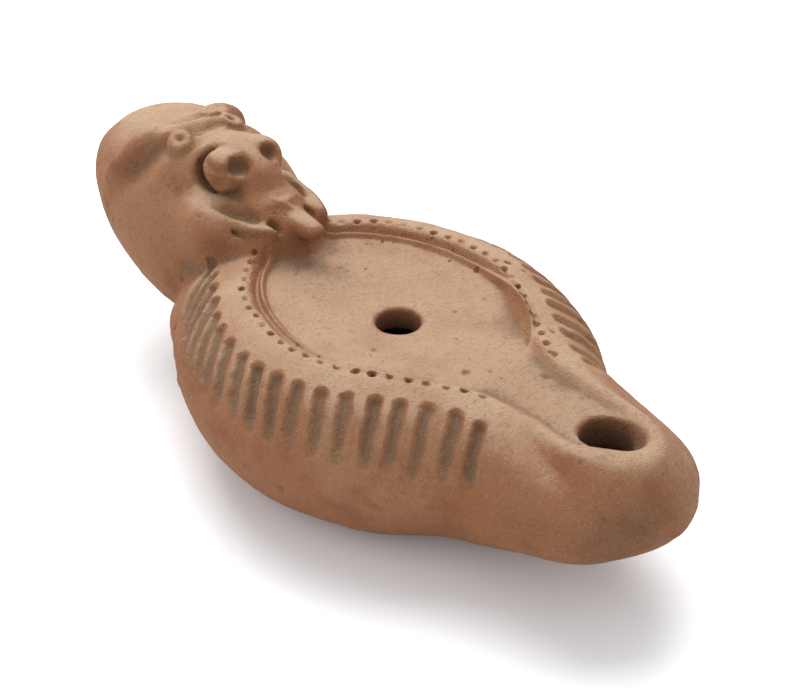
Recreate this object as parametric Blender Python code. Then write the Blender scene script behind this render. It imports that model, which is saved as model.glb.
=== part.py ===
"""A Roman oil lamp of moulded clay with an animal's head for its handle.

The nozzle points to -Y, the head stands at +Y and looks along the lamp, and the lamp rests
on the flat base under its belly at z = 0. Sizes are in millimetres until MM makes them metres.
"""
import math

import bmesh
import bpy
from mathutils import Matrix, Vector

MM = 0.001

# Plan of the body: half widths at places along it, then its two ends
HALF_WIDTHS = ((29.8, 18.4), (21.3, 25.1), (11.1, 30.7), (0.1, 33.7), (-11.0, 33.8),
               (-21.2, 31.1), (-31.4, 26.1), (-42.4, 18.2), (-53.5, 16.2), (-63.7, 12.9))
NOZZLE_TIP = -69.3
BODY_BACK = 35.0
MIDDLE_Y = -5.9
SPOKES = 60

# Plan of the rim that carries the dots, from its back to the end of the nozzle
RIM_PLAN = ((0.0, 21.0), (7.8, 19.2), (12.9, 15.4), (17.3, 10.3), (19.9, 3.5), (21.6, -5.0),
            (20.9, -11.8), (18.7, -17.8), (15.3, -23.7), (11.6, -29.7), (9.0, -34.3),
            (7.7, -39.0), (7.3, -46.7), (7.5, -53.5), (5.5, -59.4), (0.0, -62.8))

# Heights of the body
SEAM_Z = 18.2
RIM_Z = 30.1
NOZZLE_TOP_DROP = 0.5
NOZZLE_DROP_START = 30.0
NOZZLE_DROP_END = 60.0
NOZZLE_UNDER_Z = 11.7
NOZZLE_LIFT_START = 26.0
NOZZLE_LIFT_END = 68.0
BACK_UNDER_Z = 9.7
BACK_LIFT_START = 13.0
BACK_LIFT_END = 33.0
SHOULDER_START = 1.41
SHOULDER_END = 1.76
UNDER_ROUNDNESS = 2.2
BASE_SHARE = 0.47
TOP_RINGS = (0.3, 0.7)
SHOULDER_RINGS = (0.0, 0.15, 0.36, 0.56, 0.73, 0.87, 0.96, 1.0)
UNDER_RINGS = (0.98, 0.92, 0.82, 0.68, BASE_SHARE)

# Oil chamber: the wall, the roof's height at shares of the way out, and the floor's rings
WALL = 4.2
CHAMBER_SPOKES = 36
CHAMBER_ROOF = ((0.45, 22.8), (0.62, 24.4), (0.78, 23.9), (0.9, 22.0), (1.0, 18.6))
CHAMBER_ROOF_MIDDLE = 22.2
CHAMBER_FLOOR_RINGS = (0.96, 0.88, 0.74, BASE_SHARE)
CHAMBER_FLOOR_TOP = SEAM_Z - 1.0

# Sunken top: the slope inside the rim, the floor that rises to the nozzle, the dish and its ring
TOOL_TOP = 34.0
SLOPE_START = 0.25
RIM_SLOPE = 2.9
FLOOR_Z = 28.5
CHANNEL_RISE = 1.1
CHANNEL_RISE_START = 50.0
CHANNEL_RISE_END = 62.0
DISH_Y = -7.8
DISH_HALF_WIDTH = 18.7
DISH_HALF_LENGTH = 26.1
DISH_DEPTH = 2.4
DISH_SPOKES = 44
RING_HEIGHT = 0.5
RING_HALF_WIDTH = 1.0
RING_HALF_TURN = 152.0

# Holes
FILL_RADIUS = 3.8
FILL_Y = -9.0
WICK_RADIUS = 4.1
WICK_Y = -54.7
HOLE_BOTTOM = 19.5
HOLE_SIDES = 28
WICK_SCOOP = ((0, WICK_Y - 3.6, 30.2), (3.0, 4.4, 2.2), 12.0)

# Strokes on the shoulder: the plan of their upper and of their lower ends, and their section
STROKE_COUNT = 18
STROKE_TOPS = ((13.3, 24.6), (20.0, 15.5), (25.0, 7.0), (27.3, -5.1), (24.8, -16.8),
               (18.7, -27.4), (13.6, -35.6), (12.4, -40.8))
STROKE_BOTTOMS = ((23.1, 19.9), (29.4, 10.2), (32.6, -2.6), (32.1, -13.4), (27.0, -26.8),
                  (20.4, -37.0), (17.1, -43.5))
STROKE_WIDTH = 1.7
STROKE_DEPTH = 0.75

# Dots on the rim
DOT_PITCH = 2.85
DOT_RADIUS = 0.62
DOT_DEPTH = 0.55
DOT_SIDES = 6
DOTS_END_Y = -37.0

# Neck and back of the head: place along the lamp, half width, top and underside
NECK = ((22.0, 7.0, 26.5, 15.0), (26.0, 10.8, 32.0, 10.5), (31.0, 14.0, 36.4, 8.0),
        (38.0, 16.9, 39.7, 7.2), (45.0, 17.7, 41.4, 9.6), (52.0, 16.9, 41.9, 14.4),
        (58.0, 14.8, 41.2, 19.8), (63.0, 11.8, 39.5, 24.6), (67.0, 7.8, 36.9, 28.2),
        (69.0, 4.0, 34.8, 30.6))
NECK_START = (19.0, 20.0)
NECK_END = (69.7, 32.7)
NECK_SIDES = 24

# Lumps of the head: middle, half sizes, and tilt in degrees with the back end up
BROW = ((0, 44.5, 36.4), (11.5, 8.0, 6.4), 0.0)
MUZZLE = ((0, 36.5, 37.8), (6.4, 9.0, 6.0), -4.0)
JAW = ((0, 27.0, 29.8), (10.2, 12.0, 5.6), 12.0)
MOUTH = ((0, 25.2, 31.6), (10.8, 8.6, 4.6), 6.0)
CHIN = ((0, 20.4, 31.2), (7.0, 5.4, 4.0), 0.0)
NOSE_BRIDGE = ((0, 34.2, 39.4), (3.2, 6.2, 4.9), 0.0)
NOSE_BALL = ((3.5, 31.8, 40.4), (3.5, 4.2, 3.8), 0.0)
NOSTRIL = ((3.6, 28.6, 41.6), (1.9, 1.8, 1.6), 30.0)
TONGUE_ROOT = ((0, 23.4, 35.2), (5.0, 4.2, 2.9), 10.0)
TONGUE = ((0.3, 17.4, 33.6), (2.6, 6.2, 2.4), 0.0)
EYE = ((5.7, 42.1, 42.2), (2.3, 2.3, 1.2), 12.0)
PUPIL = ((5.9, 42.0, 43.4), (0.8, 0.8, 0.9), 0.0)
EAR_PATH = ((2.6, 48.0, 40.9), (6.5, 48.6, 41.8), (10.8, 49.6, 40.2), (14.0, 51.2, 37.5), (15.2, 53.2, 34.8))
EAR_RADIUS = 2.0
NEAR_LIP_PATH = ((-10.4, 28.4, 35.6), (-8.8, 24.8, 34.7), (-7.3, 20.8, 34.2), (-5.4, 16.8, 35.0))
FAR_LIP_PATH = ((8.6, 30.4, 35.0), (8.0, 26.1, 33.4), (7.6, 22.4, 33.0), (6.6, 18.4, 33.0))
LIP_RADIUS = 1.6

CLAY_COLOUR = (0.46, 0.285, 0.195, 1.0)
CLAY_ROUGHNESS = 0.85


def point(x, y, z):
    """A place in metres from millimetres."""
    return Vector((x, y, z)) * MM


def curve_through(corners, closed, steps=24):
    """Points on a smooth curve through the corners, by the Catmull-Rom rule."""
    count = len(corners)
    spans = count if closed else count - 1
    found = []
    for span in range(spans):
        if closed:
            near = [corners[(span + k) % count] for k in (-1, 0, 1, 2)]
        else:
            near = [corners[min(max(span + k, 0), count - 1)] for k in (-1, 0, 1, 2)]
        a, b, c, d = (Vector(corner) for corner in near)
        for step in range(steps):
            t = step / steps
            found.append(0.5 * (2 * b + (c - a) * t + (2 * a - 5 * b + 4 * c - d) * t ** 2
                                + (3 * b - a - 3 * c + d) * t ** 3))
    if not closed:
        found.append(Vector(corners[-1]))
    return found


def even_points(path, count, closed):
    """Points at even distances along a path."""
    loop = path + [path[0]] if closed else path
    lengths = [0.0]
    for start, end in zip(loop, loop[1:]):
        lengths.append(lengths[-1] + (end - start).length)
    total = lengths[-1]
    pieces = count if closed else count - 1
    found = []
    span = 0
    for k in range(count):
        wanted = total * k / pieces
        while span < len(loop) - 2 and lengths[span + 1] < wanted:
            span += 1
        share = (wanted - lengths[span]) / (lengths[span + 1] - lengths[span])
        found.append(loop[span].lerp(loop[span + 1], share))
    return found


def body_outline(count, inset=0.0):
    """The plan of the body from its back round to the nozzle and back, as even points."""
    right = [(width, y) for y, width in HALF_WIDTHS]
    left = [(-x, y) for x, y in reversed(right)]
    corners = [(0.0, BODY_BACK)] + right + [(0.0, NOZZLE_TIP)] + left
    path = even_points(curve_through(corners, closed=True), count, closed=True)
    if not inset:
        return path
    moved = []
    for k, here in enumerate(path):
        along = path[(k + 1) % count] - path[k - 1]
        inward = Vector((along.y, -along.x)).normalized()
        if inward.dot(Vector((0.0, MIDDLE_Y)) - here) < 0:
            inward = -inward
        moved.append(here + inward * inset)
    return moved


def eased(value, start, end):
    """A smooth step from 0 at the start to 1 at the end."""
    t = min(max((value - start) / (end - start), 0.0), 1.0)
    return t * t * (3 - 2 * t)


def bulge(share, roundness):
    """Height share of a rounded side, 1 in the middle and 0 at the edge."""
    return max(0.0, 1 - share ** roundness) ** (1 / roundness)


def reach_line(path):
    """A closed plan as directions from the middle of the body and distances from it."""
    line = []
    for here in path:
        away = here - Vector((0.0, MIDDLE_Y))
        line.append((math.atan2(away.x, away.y), away.length))
    line.sort()
    return [(line[-1][0] - math.tau, line[-1][1])] + line + [(line[0][0] + math.tau, line[0][1])]


def rim_plan(steps):
    """The rim's plan as points on a smooth closed curve."""
    right = [Vector(corner) for corner in RIM_PLAN]
    left = [Vector((-x, y)) for x, y in RIM_PLAN[-2:0:-1]]
    return curve_through(right + left, closed=True, steps=steps)


def reach(line, place):
    """How far a plan lies from the middle of the body, in the direction of a place."""
    away = place - Vector((0.0, MIDDLE_Y))
    turn = math.atan2(away.x, away.y)
    for (low, near), (high, far) in zip(line, line[1:]):
        if low <= turn <= high:
            return near + (far - near) * (turn - low) / (high - low)
    return line[0][1]


def rim_share(edge):
    """How far out the rim lies on the way from the middle to a place on the outline."""
    return reach(RIM, edge) / (edge - Vector((0.0, MIDDLE_Y))).length


def crown_z(y):
    """Height of the rim, which sinks a little towards the nozzle."""
    return RIM_Z - NOZZLE_TOP_DROP * eased(-y, NOZZLE_DROP_START, NOZZLE_DROP_END)


def shoulder_point(place):
    """The place on the shoulder above a place in plan."""
    inner = reach(RIM, place)
    share = ((place - Vector((0.0, MIDDLE_Y))).length - inner) / (reach(OUTLINE, place) - inner)
    share = min(max(share, 0.0), 1.0)
    fall = max(0.0, 1 - share ** SHOULDER_START) ** (1 / SHOULDER_END)
    return Vector((place.x, place.y, SEAM_Z + (crown_z(place.y) - SEAM_Z) * fall))


def under_z(share, y, lift=0.0):
    """Height of the underside, which rises to the nozzle and to the back."""
    keel = NOZZLE_UNDER_Z * eased(-y, NOZZLE_LIFT_START, NOZZLE_LIFT_END)
    keel += BACK_UNDER_Z * eased(y, BACK_LIFT_START, BACK_LIFT_END)
    keel = min(keel + lift, SEAM_Z - 1.0)
    beyond = max(0.0, (share - BASE_SHARE) / (1 - BASE_SHARE))
    return SEAM_Z - (SEAM_Z - keel) * bulge(beyond, UNDER_ROUNDNESS)


def loft(name, rings, top, bottom):
    """A closed skin over rings of equal count, each end drawn to a point."""
    mesh = bmesh.new()
    layers = [[mesh.verts.new(place) for place in ring] for ring in rings]
    first = mesh.verts.new(top)
    last = mesh.verts.new(bottom)
    count = len(layers[0])
    for k in range(count):
        after = (k + 1) % count
        mesh.faces.new((first, layers[0][k], layers[0][after]))
        mesh.faces.new((last, layers[-1][after], layers[-1][k]))
        for upper, lower in zip(layers, layers[1:]):
            mesh.faces.new((upper[k], lower[k], lower[after]))
            mesh.faces.new((upper[k], lower[after], upper[after]))
    bmesh.ops.recalc_face_normals(mesh, faces=mesh.faces)
    return finished(name, mesh)


def finished(name, mesh):
    """An object from a worked mesh."""
    data = bpy.data.meshes.new(name)
    mesh.to_mesh(data)
    mesh.free()
    made = bpy.data.objects.new(name, data)
    return made


def ball(name, centre, radii, tilt, detail=(12, 8), pair=False):
    """An egg-shaped lump, with its twin across the lamp if asked."""
    mesh = bmesh.new()
    x, y, z = centre
    for side in ((1, -1) if pair else (1,)):
        added = bmesh.ops.create_uvsphere(mesh, u_segments=detail[0], v_segments=detail[1], radius=MM)
        shape = (Matrix.Translation(point(side * x, y, z)) @ Matrix.Rotation(math.radians(tilt), 4, "X")
                 @ Matrix.Diagonal((*radii, 1)))
        bmesh.ops.transform(mesh, matrix=shape, verts=added["verts"])
    return finished(name, mesh)


def tube(name, places, radius, sides=8):
    """A bent rod through places along it, thinning to both ends."""
    path = even_points(curve_through(places, closed=False), 9, closed=False)
    layers = []
    for k in range(1, len(path) - 1):
        along = (path[k + 1] - path[k - 1]).normalized()
        across = along.cross(Vector((0, 0, 1))).normalized()
        over = across.cross(along)
        size = radius * math.sin(math.pi * (0.12 + 0.76 * k / (len(path) - 1))) ** 0.5
        turns = [math.tau * i / sides for i in range(sides)]
        layers.append([(path[k] + (across * math.cos(a) + over * math.sin(a)) * size) * MM for a in turns])
    return loft(name, layers, path[0] * MM, path[-1] * MM)


def body_blank():
    """The closed body before anything is sunk or cut."""
    edges = body_outline(SPOKES)
    middle = Vector((0.0, MIDDLE_Y))
    rings = []
    for inner in TOP_RINGS:
        plan = [middle.lerp(edge, rim_share(edge) * inner) for edge in edges]
        rings.append([point(p.x, p.y, crown_z(p.y)) for p in plan])
    for share in SHOULDER_RINGS:
        starts = [rim_share(edge) for edge in edges]
        plan = [middle.lerp(edge, start + (1 - start) * share) for edge, start in zip(edges, starts)]
        rings.append([shoulder_point(p) * MM for p in plan])
    for share in UNDER_RINGS:
        plan = [middle.lerp(edge, share) for edge in edges]
        rings.append([point(p.x, p.y, under_z(share, p.y)) for p in plan])
    return loft("lamp", rings, point(0, MIDDLE_Y, RIM_Z), point(0, MIDDLE_Y, 0))


def chamber():
    """The hollow for the oil, a wall's thickness inside the body."""
    edges = body_outline(CHAMBER_SPOKES, inset=WALL)
    middle = Vector((0.0, MIDDLE_Y))
    rings = []
    for share, height in CHAMBER_ROOF:
        rings.append([point(*middle.lerp(edge, share), height) for edge in edges])
    for share in CHAMBER_FLOOR_RINGS:
        plan = [middle.lerp(edge, share) for edge in edges]
        floor = [min(under_z(share, p.y, lift=WALL) + share, CHAMBER_FLOOR_TOP) for p in plan]
        rings.append([point(p.x, p.y, z) for p, z in zip(plan, floor)])
    return loft("oil_chamber", rings, point(0, MIDDLE_Y, CHAMBER_ROOF_MIDDLE), point(0, MIDDLE_Y, WALL))


def sunken_top():
    """All that lies inside the rim: a short slope down to a floor that rises to the nozzle."""
    path = even_points(rim_plan(12), SPOKES, closed=True)
    middle = Vector((0.0, MIDDLE_Y))
    rings = []
    for inset, drop in ((SLOPE_START, -TOOL_TOP), (SLOPE_START, -0.25), (0.45 * RIM_SLOPE, 0.45), (RIM_SLOPE, 1.0)):
        ring = []
        for k, here in enumerate(path):
            along = path[(k + 1) % len(path)] - path[k - 1]
            inward = Vector((along.y, -along.x)).normalized()
            inward = inward if inward.dot(middle - here) > 0 else -inward
            p = here + inward * inset
            low = floor_z(p.y)
            ring.append(point(p.x, p.y, min(crown_z(p.y) - (crown_z(p.y) - low) * drop, TOOL_TOP)))
        rings.append(ring)
    inner = [Vector((p.x, p.y)) / MM for p in rings[-1]]
    plan = [middle.lerp(p, 0.8) for p in inner]
    rings.append([point(p.x, p.y, floor_z(p.y)) for p in plan])
    return loft("sunken_top", rings, point(0, MIDDLE_Y, TOOL_TOP), point(0, MIDDLE_Y, FLOOR_Z))


def floor_z(y):
    """Height of the sunken floor, which rises towards the end of the nozzle."""
    return FLOOR_Z + CHANNEL_RISE * eased(-y, CHANNEL_RISE_START, CHANNEL_RISE_END)


def oval_point(turn, outward, z, share=1.0):
    """A place at a direction on a level oval about the middle of the dish."""
    return point((DISH_HALF_WIDTH * share + outward) * math.sin(turn),
                 DISH_Y + (DISH_HALF_LENGTH * share + outward) * math.cos(turn), z)


def fine_ring():
    """The fine raised ring round the dish, open towards the channel."""
    half_turn = math.radians(RING_HALF_TURN)
    turns = [half_turn * (2 * k / DISH_SPOKES - 1) for k in range(1, DISH_SPOKES)]
    section = ((0.0, RING_HEIGHT), (RING_HALF_WIDTH, -0.15), (0.0, -1.2), (-RING_HALF_WIDTH, -0.15))
    rings = [[oval_point(turn, outward, FLOOR_Z + up) for outward, up in section] for turn in turns]
    ends = [oval_point(turn, 0.0, FLOOR_Z - 0.4) for turn in (-half_turn, half_turn)]
    return loft("fine_ring", rings, *ends)


def dish():
    """The shallow dish inside the ring, as the shape that is taken away."""
    turns = [math.tau * k / DISH_SPOKES for k in range(DISH_SPOKES)]
    inset = -0.8 * RING_HALF_WIDTH
    rings = [[oval_point(turn, inset, TOOL_TOP) for turn in turns], [oval_point(turn, inset, FLOOR_Z) for turn in turns]]
    for share in (0.72, 0.4):
        low = FLOOR_Z - DISH_DEPTH * (1 - share ** 2)
        rings.append([oval_point(turn, 0.0, low, share) for turn in turns])
    return loft("dish", rings, point(0, DISH_Y, TOOL_TOP), point(0, DISH_Y, FLOOR_Z - DISH_DEPTH))


def holes():
    """The filling hole and the wick hole, straight down into the chamber."""
    mesh = bmesh.new()
    tall = TOOL_TOP - HOLE_BOTTOM
    for radius, y in ((FILL_RADIUS, FILL_Y), (WICK_RADIUS, WICK_Y)):
        place = Matrix.Translation(point(0, y, HOLE_BOTTOM + tall / 2))
        bmesh.ops.create_cone(mesh, cap_ends=True, segments=HOLE_SIDES, radius1=radius * MM,
                              radius2=radius * MM, depth=tall * MM, matrix=place)
    return finished("holes", mesh)


def strokes():
    """Slanting strokes down the shoulder, each a keel-shaped sliver that is pressed in."""
    mesh = bmesh.new()
    tops, bottoms = (even_points(curve_through(places, closed=False), STROKE_COUNT, closed=False)
                     for places in (STROKE_TOPS, STROKE_BOTTOMS))
    for side in (1, -1):
        for top, bottom in zip(tops, bottoms):
            layers = []
            for share in (0.0, 0.5, 1.0):
                plan = top.lerp(bottom, share)
                step = (bottom - top) * 0.1
                here, before, after = (shoulder_point(p) for p in (plan, plan - step, plan + step))
                fall = (after - before).normalized()
                across = Vector((0, 0, 1)).cross(fall).normalized()
                outward = fall.cross(across)
                outward = outward if outward.z > 0 else -outward
                half = across * STROKE_WIDTH / 2
                corners = (here + half * 1.5 + outward * 0.6, here - half * 1.5 + outward * 0.6,
                           here - half * 0.5 - outward * STROKE_DEPTH,
                           here + half * 0.5 - outward * STROKE_DEPTH)
                layers.append([mesh.verts.new(Vector((side * c.x, c.y, c.z)) * MM) for c in corners])
            for one, two in zip(layers, layers[1:]):
                for i in range(4):
                    after = (i + 1) % 4
                    mesh.faces.new((one[i], one[after], two[after], two[i]))
            mesh.faces.new(layers[0])
            mesh.faces.new(layers[-1])
    bmesh.ops.recalc_face_normals(mesh, faces=mesh.faces)
    return finished("strokes", mesh)


def dots():
    """Small pits in a row along the rim on both sides, as blunt pins that are pressed in."""
    right = [p for p in curve_through(RIM_PLAN[1:], closed=False) if p.y > DOTS_END_Y]
    length = sum((end - start).length for start, end in zip(right, right[1:]))
    mesh = bmesh.new()
    for spot in even_points(right, round(length / DOT_PITCH) + 1, closed=False):
        for side in (1, -1):
            place = Matrix.Translation(point(side * spot.x, spot.y, crown_z(spot.y)))
            bmesh.ops.create_cone(mesh, cap_ends=True, segments=DOT_SIDES, radius1=DOT_RADIUS * 0.4 * MM,
                                  radius2=DOT_RADIUS * 1.6 * MM, depth=2 * DOT_DEPTH * MM, matrix=place)
    return finished("dots", mesh)


def neck():
    """The neck and the back of the head, one rounded mass."""
    rings = []
    for y, half_width, top, under in NECK:
        turns = [math.tau * k / NECK_SIDES for k in range(NECK_SIDES)]
        rings.append([point(half_width * math.cos(a), y, (top + under) / 2 + (top - under) / 2 * math.sin(a))
                      for a in turns])
    return loft("neck", rings, point(0, *NECK_START), point(0, *NECK_END))


def clay():
    """Fired reddish clay."""
    material = bpy.data.materials.new("fired_clay")
    material.use_nodes = True
    shader = material.node_tree.nodes["Principled BSDF"]
    shader.inputs["Base Color"].default_value = CLAY_COLOUR
    shader.inputs["Roughness"].default_value = CLAY_ROUGHNESS
    shader.inputs["Metallic"].default_value = 0.0
    return material


def work_on(lamp, helper, operation, cutters):
    """Cut the lamp with a helper or join the helper to it."""
    cutters.objects.link(helper)
    helper.hide_render = True
    helper.display_type = "WIRE"
    change = lamp.modifiers.new(helper.name, "BOOLEAN")
    change.operation = operation
    change.solver = "EXACT"
    change.object = helper


def build():
    for old in list(bpy.data.objects):
        bpy.data.objects.remove(old)
    parts = bpy.data.collections.new("roman_oil_lamp")
    cutters = bpy.data.collections.new("cutters")
    bpy.context.scene.collection.children.link(parts)
    bpy.context.scene.collection.children.link(cutters)

    lamp = body_blank()
    parts.objects.link(lamp)
    work_on(lamp, strokes(), "DIFFERENCE", cutters)
    work_on(lamp, sunken_top(), "DIFFERENCE", cutters)
    work_on(lamp, fine_ring(), "UNION", cutters)
    work_on(lamp, dish(), "DIFFERENCE", cutters)
    work_on(lamp, dots(), "DIFFERENCE", cutters)
    work_on(lamp, neck(), "UNION", cutters)
    for name, lump in (("brow", BROW), ("muzzle", MUZZLE), ("jaw", JAW), ("mouth", MOUTH), ("chin", CHIN),
                       ("nose_bridge", NOSE_BRIDGE), ("tongue_root", TONGUE_ROOT), ("tongue", TONGUE)):
        work_on(lamp, ball(name, *lump), "UNION", cutters)
    for name, side in (("far", 1), ("near", -1)):
        centre = (side * NOSE_BALL[0][0], *NOSE_BALL[0][1:])
        work_on(lamp, ball(name + "_nose_ball", centre, *NOSE_BALL[1:]), "UNION", cutters)
        ear = [Vector((side * x, y, z)) for x, y, z in EAR_PATH]
        work_on(lamp, tube(name + "_ear", ear, EAR_RADIUS), "UNION", cutters)
    work_on(lamp, tube("near_lip", NEAR_LIP_PATH, LIP_RADIUS), "UNION", cutters)
    work_on(lamp, tube("far_lip", FAR_LIP_PATH, LIP_RADIUS), "UNION", cutters)
    work_on(lamp, ball("eyes", *EYE, pair=True, detail=(14, 8)), "UNION", cutters)
    work_on(lamp, ball("pupils", *PUPIL, pair=True, detail=(8, 6)), "DIFFERENCE", cutters)
    work_on(lamp, ball("nostrils", *NOSTRIL, pair=True, detail=(10, 6)), "DIFFERENCE", cutters)
    work_on(lamp, chamber(), "DIFFERENCE", cutters)
    work_on(lamp, holes(), "DIFFERENCE", cutters)
    work_on(lamp, ball("wick_scoop", *WICK_SCOOP), "DIFFERENCE", cutters)

    lamp.data.materials.append(clay())
    lamp.data.shade_smooth()
    lamp.data.set_sharp_from_angle(angle=math.radians(35))


RIM = reach_line(rim_plan(8))
OUTLINE = reach_line(body_outline(400))
build()
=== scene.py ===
# %% [markdown]
# # A Roman oil lamp with an animal's head
#
# Lamps like this one were pressed from soft clay in two-part moulds, joined along a seam round
# the widest part, and fired to a pinkish terracotta. This lesson builds one the way clay is
# worked: first the plain hollow body, then the sunken top and the holes, then the head that
# serves as the handle, and last the strokes, the dots and two thousand years of wear.
#
# All lengths below are in millimetres. The nozzle points to -Y and the head is at +Y.

# %% Open the measured model
import math

import bmesh
import bpy
import numpy as np
import openvdb
from mathutils import Matrix, Vector


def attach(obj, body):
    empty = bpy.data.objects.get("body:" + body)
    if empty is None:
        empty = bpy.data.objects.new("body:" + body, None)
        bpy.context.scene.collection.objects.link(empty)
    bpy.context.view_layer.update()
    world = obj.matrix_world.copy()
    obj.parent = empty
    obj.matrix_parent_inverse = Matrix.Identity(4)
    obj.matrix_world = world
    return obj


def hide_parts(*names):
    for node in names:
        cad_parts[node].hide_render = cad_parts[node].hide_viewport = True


MM = 0.001
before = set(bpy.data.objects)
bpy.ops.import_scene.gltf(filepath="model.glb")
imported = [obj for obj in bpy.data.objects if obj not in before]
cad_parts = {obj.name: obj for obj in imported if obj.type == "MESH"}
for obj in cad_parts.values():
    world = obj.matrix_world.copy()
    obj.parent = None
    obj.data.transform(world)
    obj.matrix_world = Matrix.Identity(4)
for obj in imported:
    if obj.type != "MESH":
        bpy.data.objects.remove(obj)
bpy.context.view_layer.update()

# %% [markdown]
# ## The plan of the body
#
# Seen from above, the lamp is a broad oval that draws in to a round nozzle. The real one was
# drawn by eye on a mould, so its outline is a smooth curve through a few widths, not an
# ellipse. A second curve inside it is the plan of the rim that carries the dots. Every place
# on the body is then described by how far it lies between the middle, the rim and the outline.

# %% Outline and rim as distances from the middle
MIDDLE_Y = -5.9
HALF_WIDTHS = ((29.8, 18.4), (21.3, 25.1), (11.1, 30.7), (0.1, 33.7), (-11.0, 33.8),
               (-21.2, 31.1), (-31.4, 26.1), (-42.4, 18.2), (-53.5, 16.2), (-63.7, 12.9))
NOZZLE_TIP = -69.3
BODY_BACK = 35.0
RIM_PLAN = ((0.0, 21.0), (7.8, 19.2), (12.9, 15.4), (17.3, 10.3), (19.9, 3.5), (21.6, -5.0),
            (20.9, -11.8), (18.7, -17.8), (15.3, -23.7), (11.6, -29.7), (9.0, -34.3),
            (7.7, -39.0), (7.3, -46.7), (7.5, -53.5), (5.5, -59.4), (0.0, -62.8))


def smooth_curve(corners, closed=False, steps=24):
    """Points on a smooth curve that passes through every corner."""
    corners = np.array(corners, float)
    count = len(corners)
    found = []
    for span in range(count if closed else count - 1):
        wanted = np.array([-1, 0, 1, 2]) + span
        wanted = wanted % count if closed else np.clip(wanted, 0, count - 1)
        a, b, c, d = corners[wanted]
        t = np.linspace(0, 1, steps, endpoint=False)[:, None]
        found.append(0.5 * (2 * b + (c - a) * t + (2 * a - 5 * b + 4 * c - d) * t**2
                            + (3 * b - a - 3 * c + d) * t**3))
    if not closed:
        found.append(corners[-1:])
    return np.concatenate(found)


def reach_by_direction(plan):
    """Direction and distance of each point of a plan, seen from the middle of the body."""
    x, y = plan[:, 0], plan[:, 1] - MIDDLE_Y
    turn, reach = np.arctan2(x, y), np.hypot(x, y)
    order = np.argsort(turn)
    return turn[order], reach[order]


right_side = [(width, y) for y, width in HALF_WIDTHS]
left_side = [(-x, y) for x, y in reversed(right_side)]
outline = smooth_curve([(0, BODY_BACK)] + right_side + [(0, NOZZLE_TIP)] + left_side, closed=True)
rim = smooth_curve(list(RIM_PLAN) + [(-x, y) for x, y in RIM_PLAN[-2:0:-1]], closed=True)
outline_reach = reach_by_direction(outline)
rim_reach = reach_by_direction(rim)
print("the outline has", len(outline), "points and the rim", len(rim))

# %% [markdown]
# ## A block of space to model in
#
# Clay forms flow into each other, which is hard to get from stacked solids. So the lamp is
# described as a field: a block of space that stores, at every place of a fine grid, how far
# away the clay's skin is, with minus signs inside the clay. Adding a lump is then the smaller
# of two distances and cutting is the larger, and a soft blend between them gives the rounded
# joins that a thumb leaves.

# %% The grid
STEP = 0.45  # a coarser grid while other things are tried
LOW = np.array((-37.0, -72.5, -2.5))
HIGH = np.array((37.0, 73.0, 50.0))
OPEN_AIR = 9.0  # the distance that is stored far outside the clay
DEEP_INSIDE = 8.0
SPARE_ROOM = 2.5  # worked on round a shape, past its blend
NEAR, FAR, BOTH = (-1,), (1,), (1, -1)
MIDDLE = (1,)  # a shape across the middle is worked once
print("the block is", (HIGH - LOW).tolist(), "mm, in steps of", STEP)


# %% Joins, true distances and easing
def smaller(a, b, blend):
    """The smaller of two distances, rounded where they meet."""
    near = np.clip(blend - np.abs(a - b), 0, None) / max(blend, 1e-6)
    return np.minimum(a, b) - near * near * blend * 0.25


def larger(a, b, blend):
    """The larger of two distances, rounded where they meet."""
    return -smaller(-a, -b, blend)


def evened(value, step=STEP):
    """A true distance from any smooth value that is 0 on the skin, by its own slope."""
    slopes = np.gradient(value, step)
    steep = np.sqrt(sum(slope * slope for slope in slopes))
    return value / np.maximum(steep, 1e-3)


def ease(value, start, end):
    """A smooth step from 0 at the start to 1 at the end."""
    t = np.clip((value - start) / (end - start), 0, 1)
    return t * t * (3 - 2 * t)


print("a quarter of the way, an easing has reached", float(ease(0.25, 0, 1)))


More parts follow.
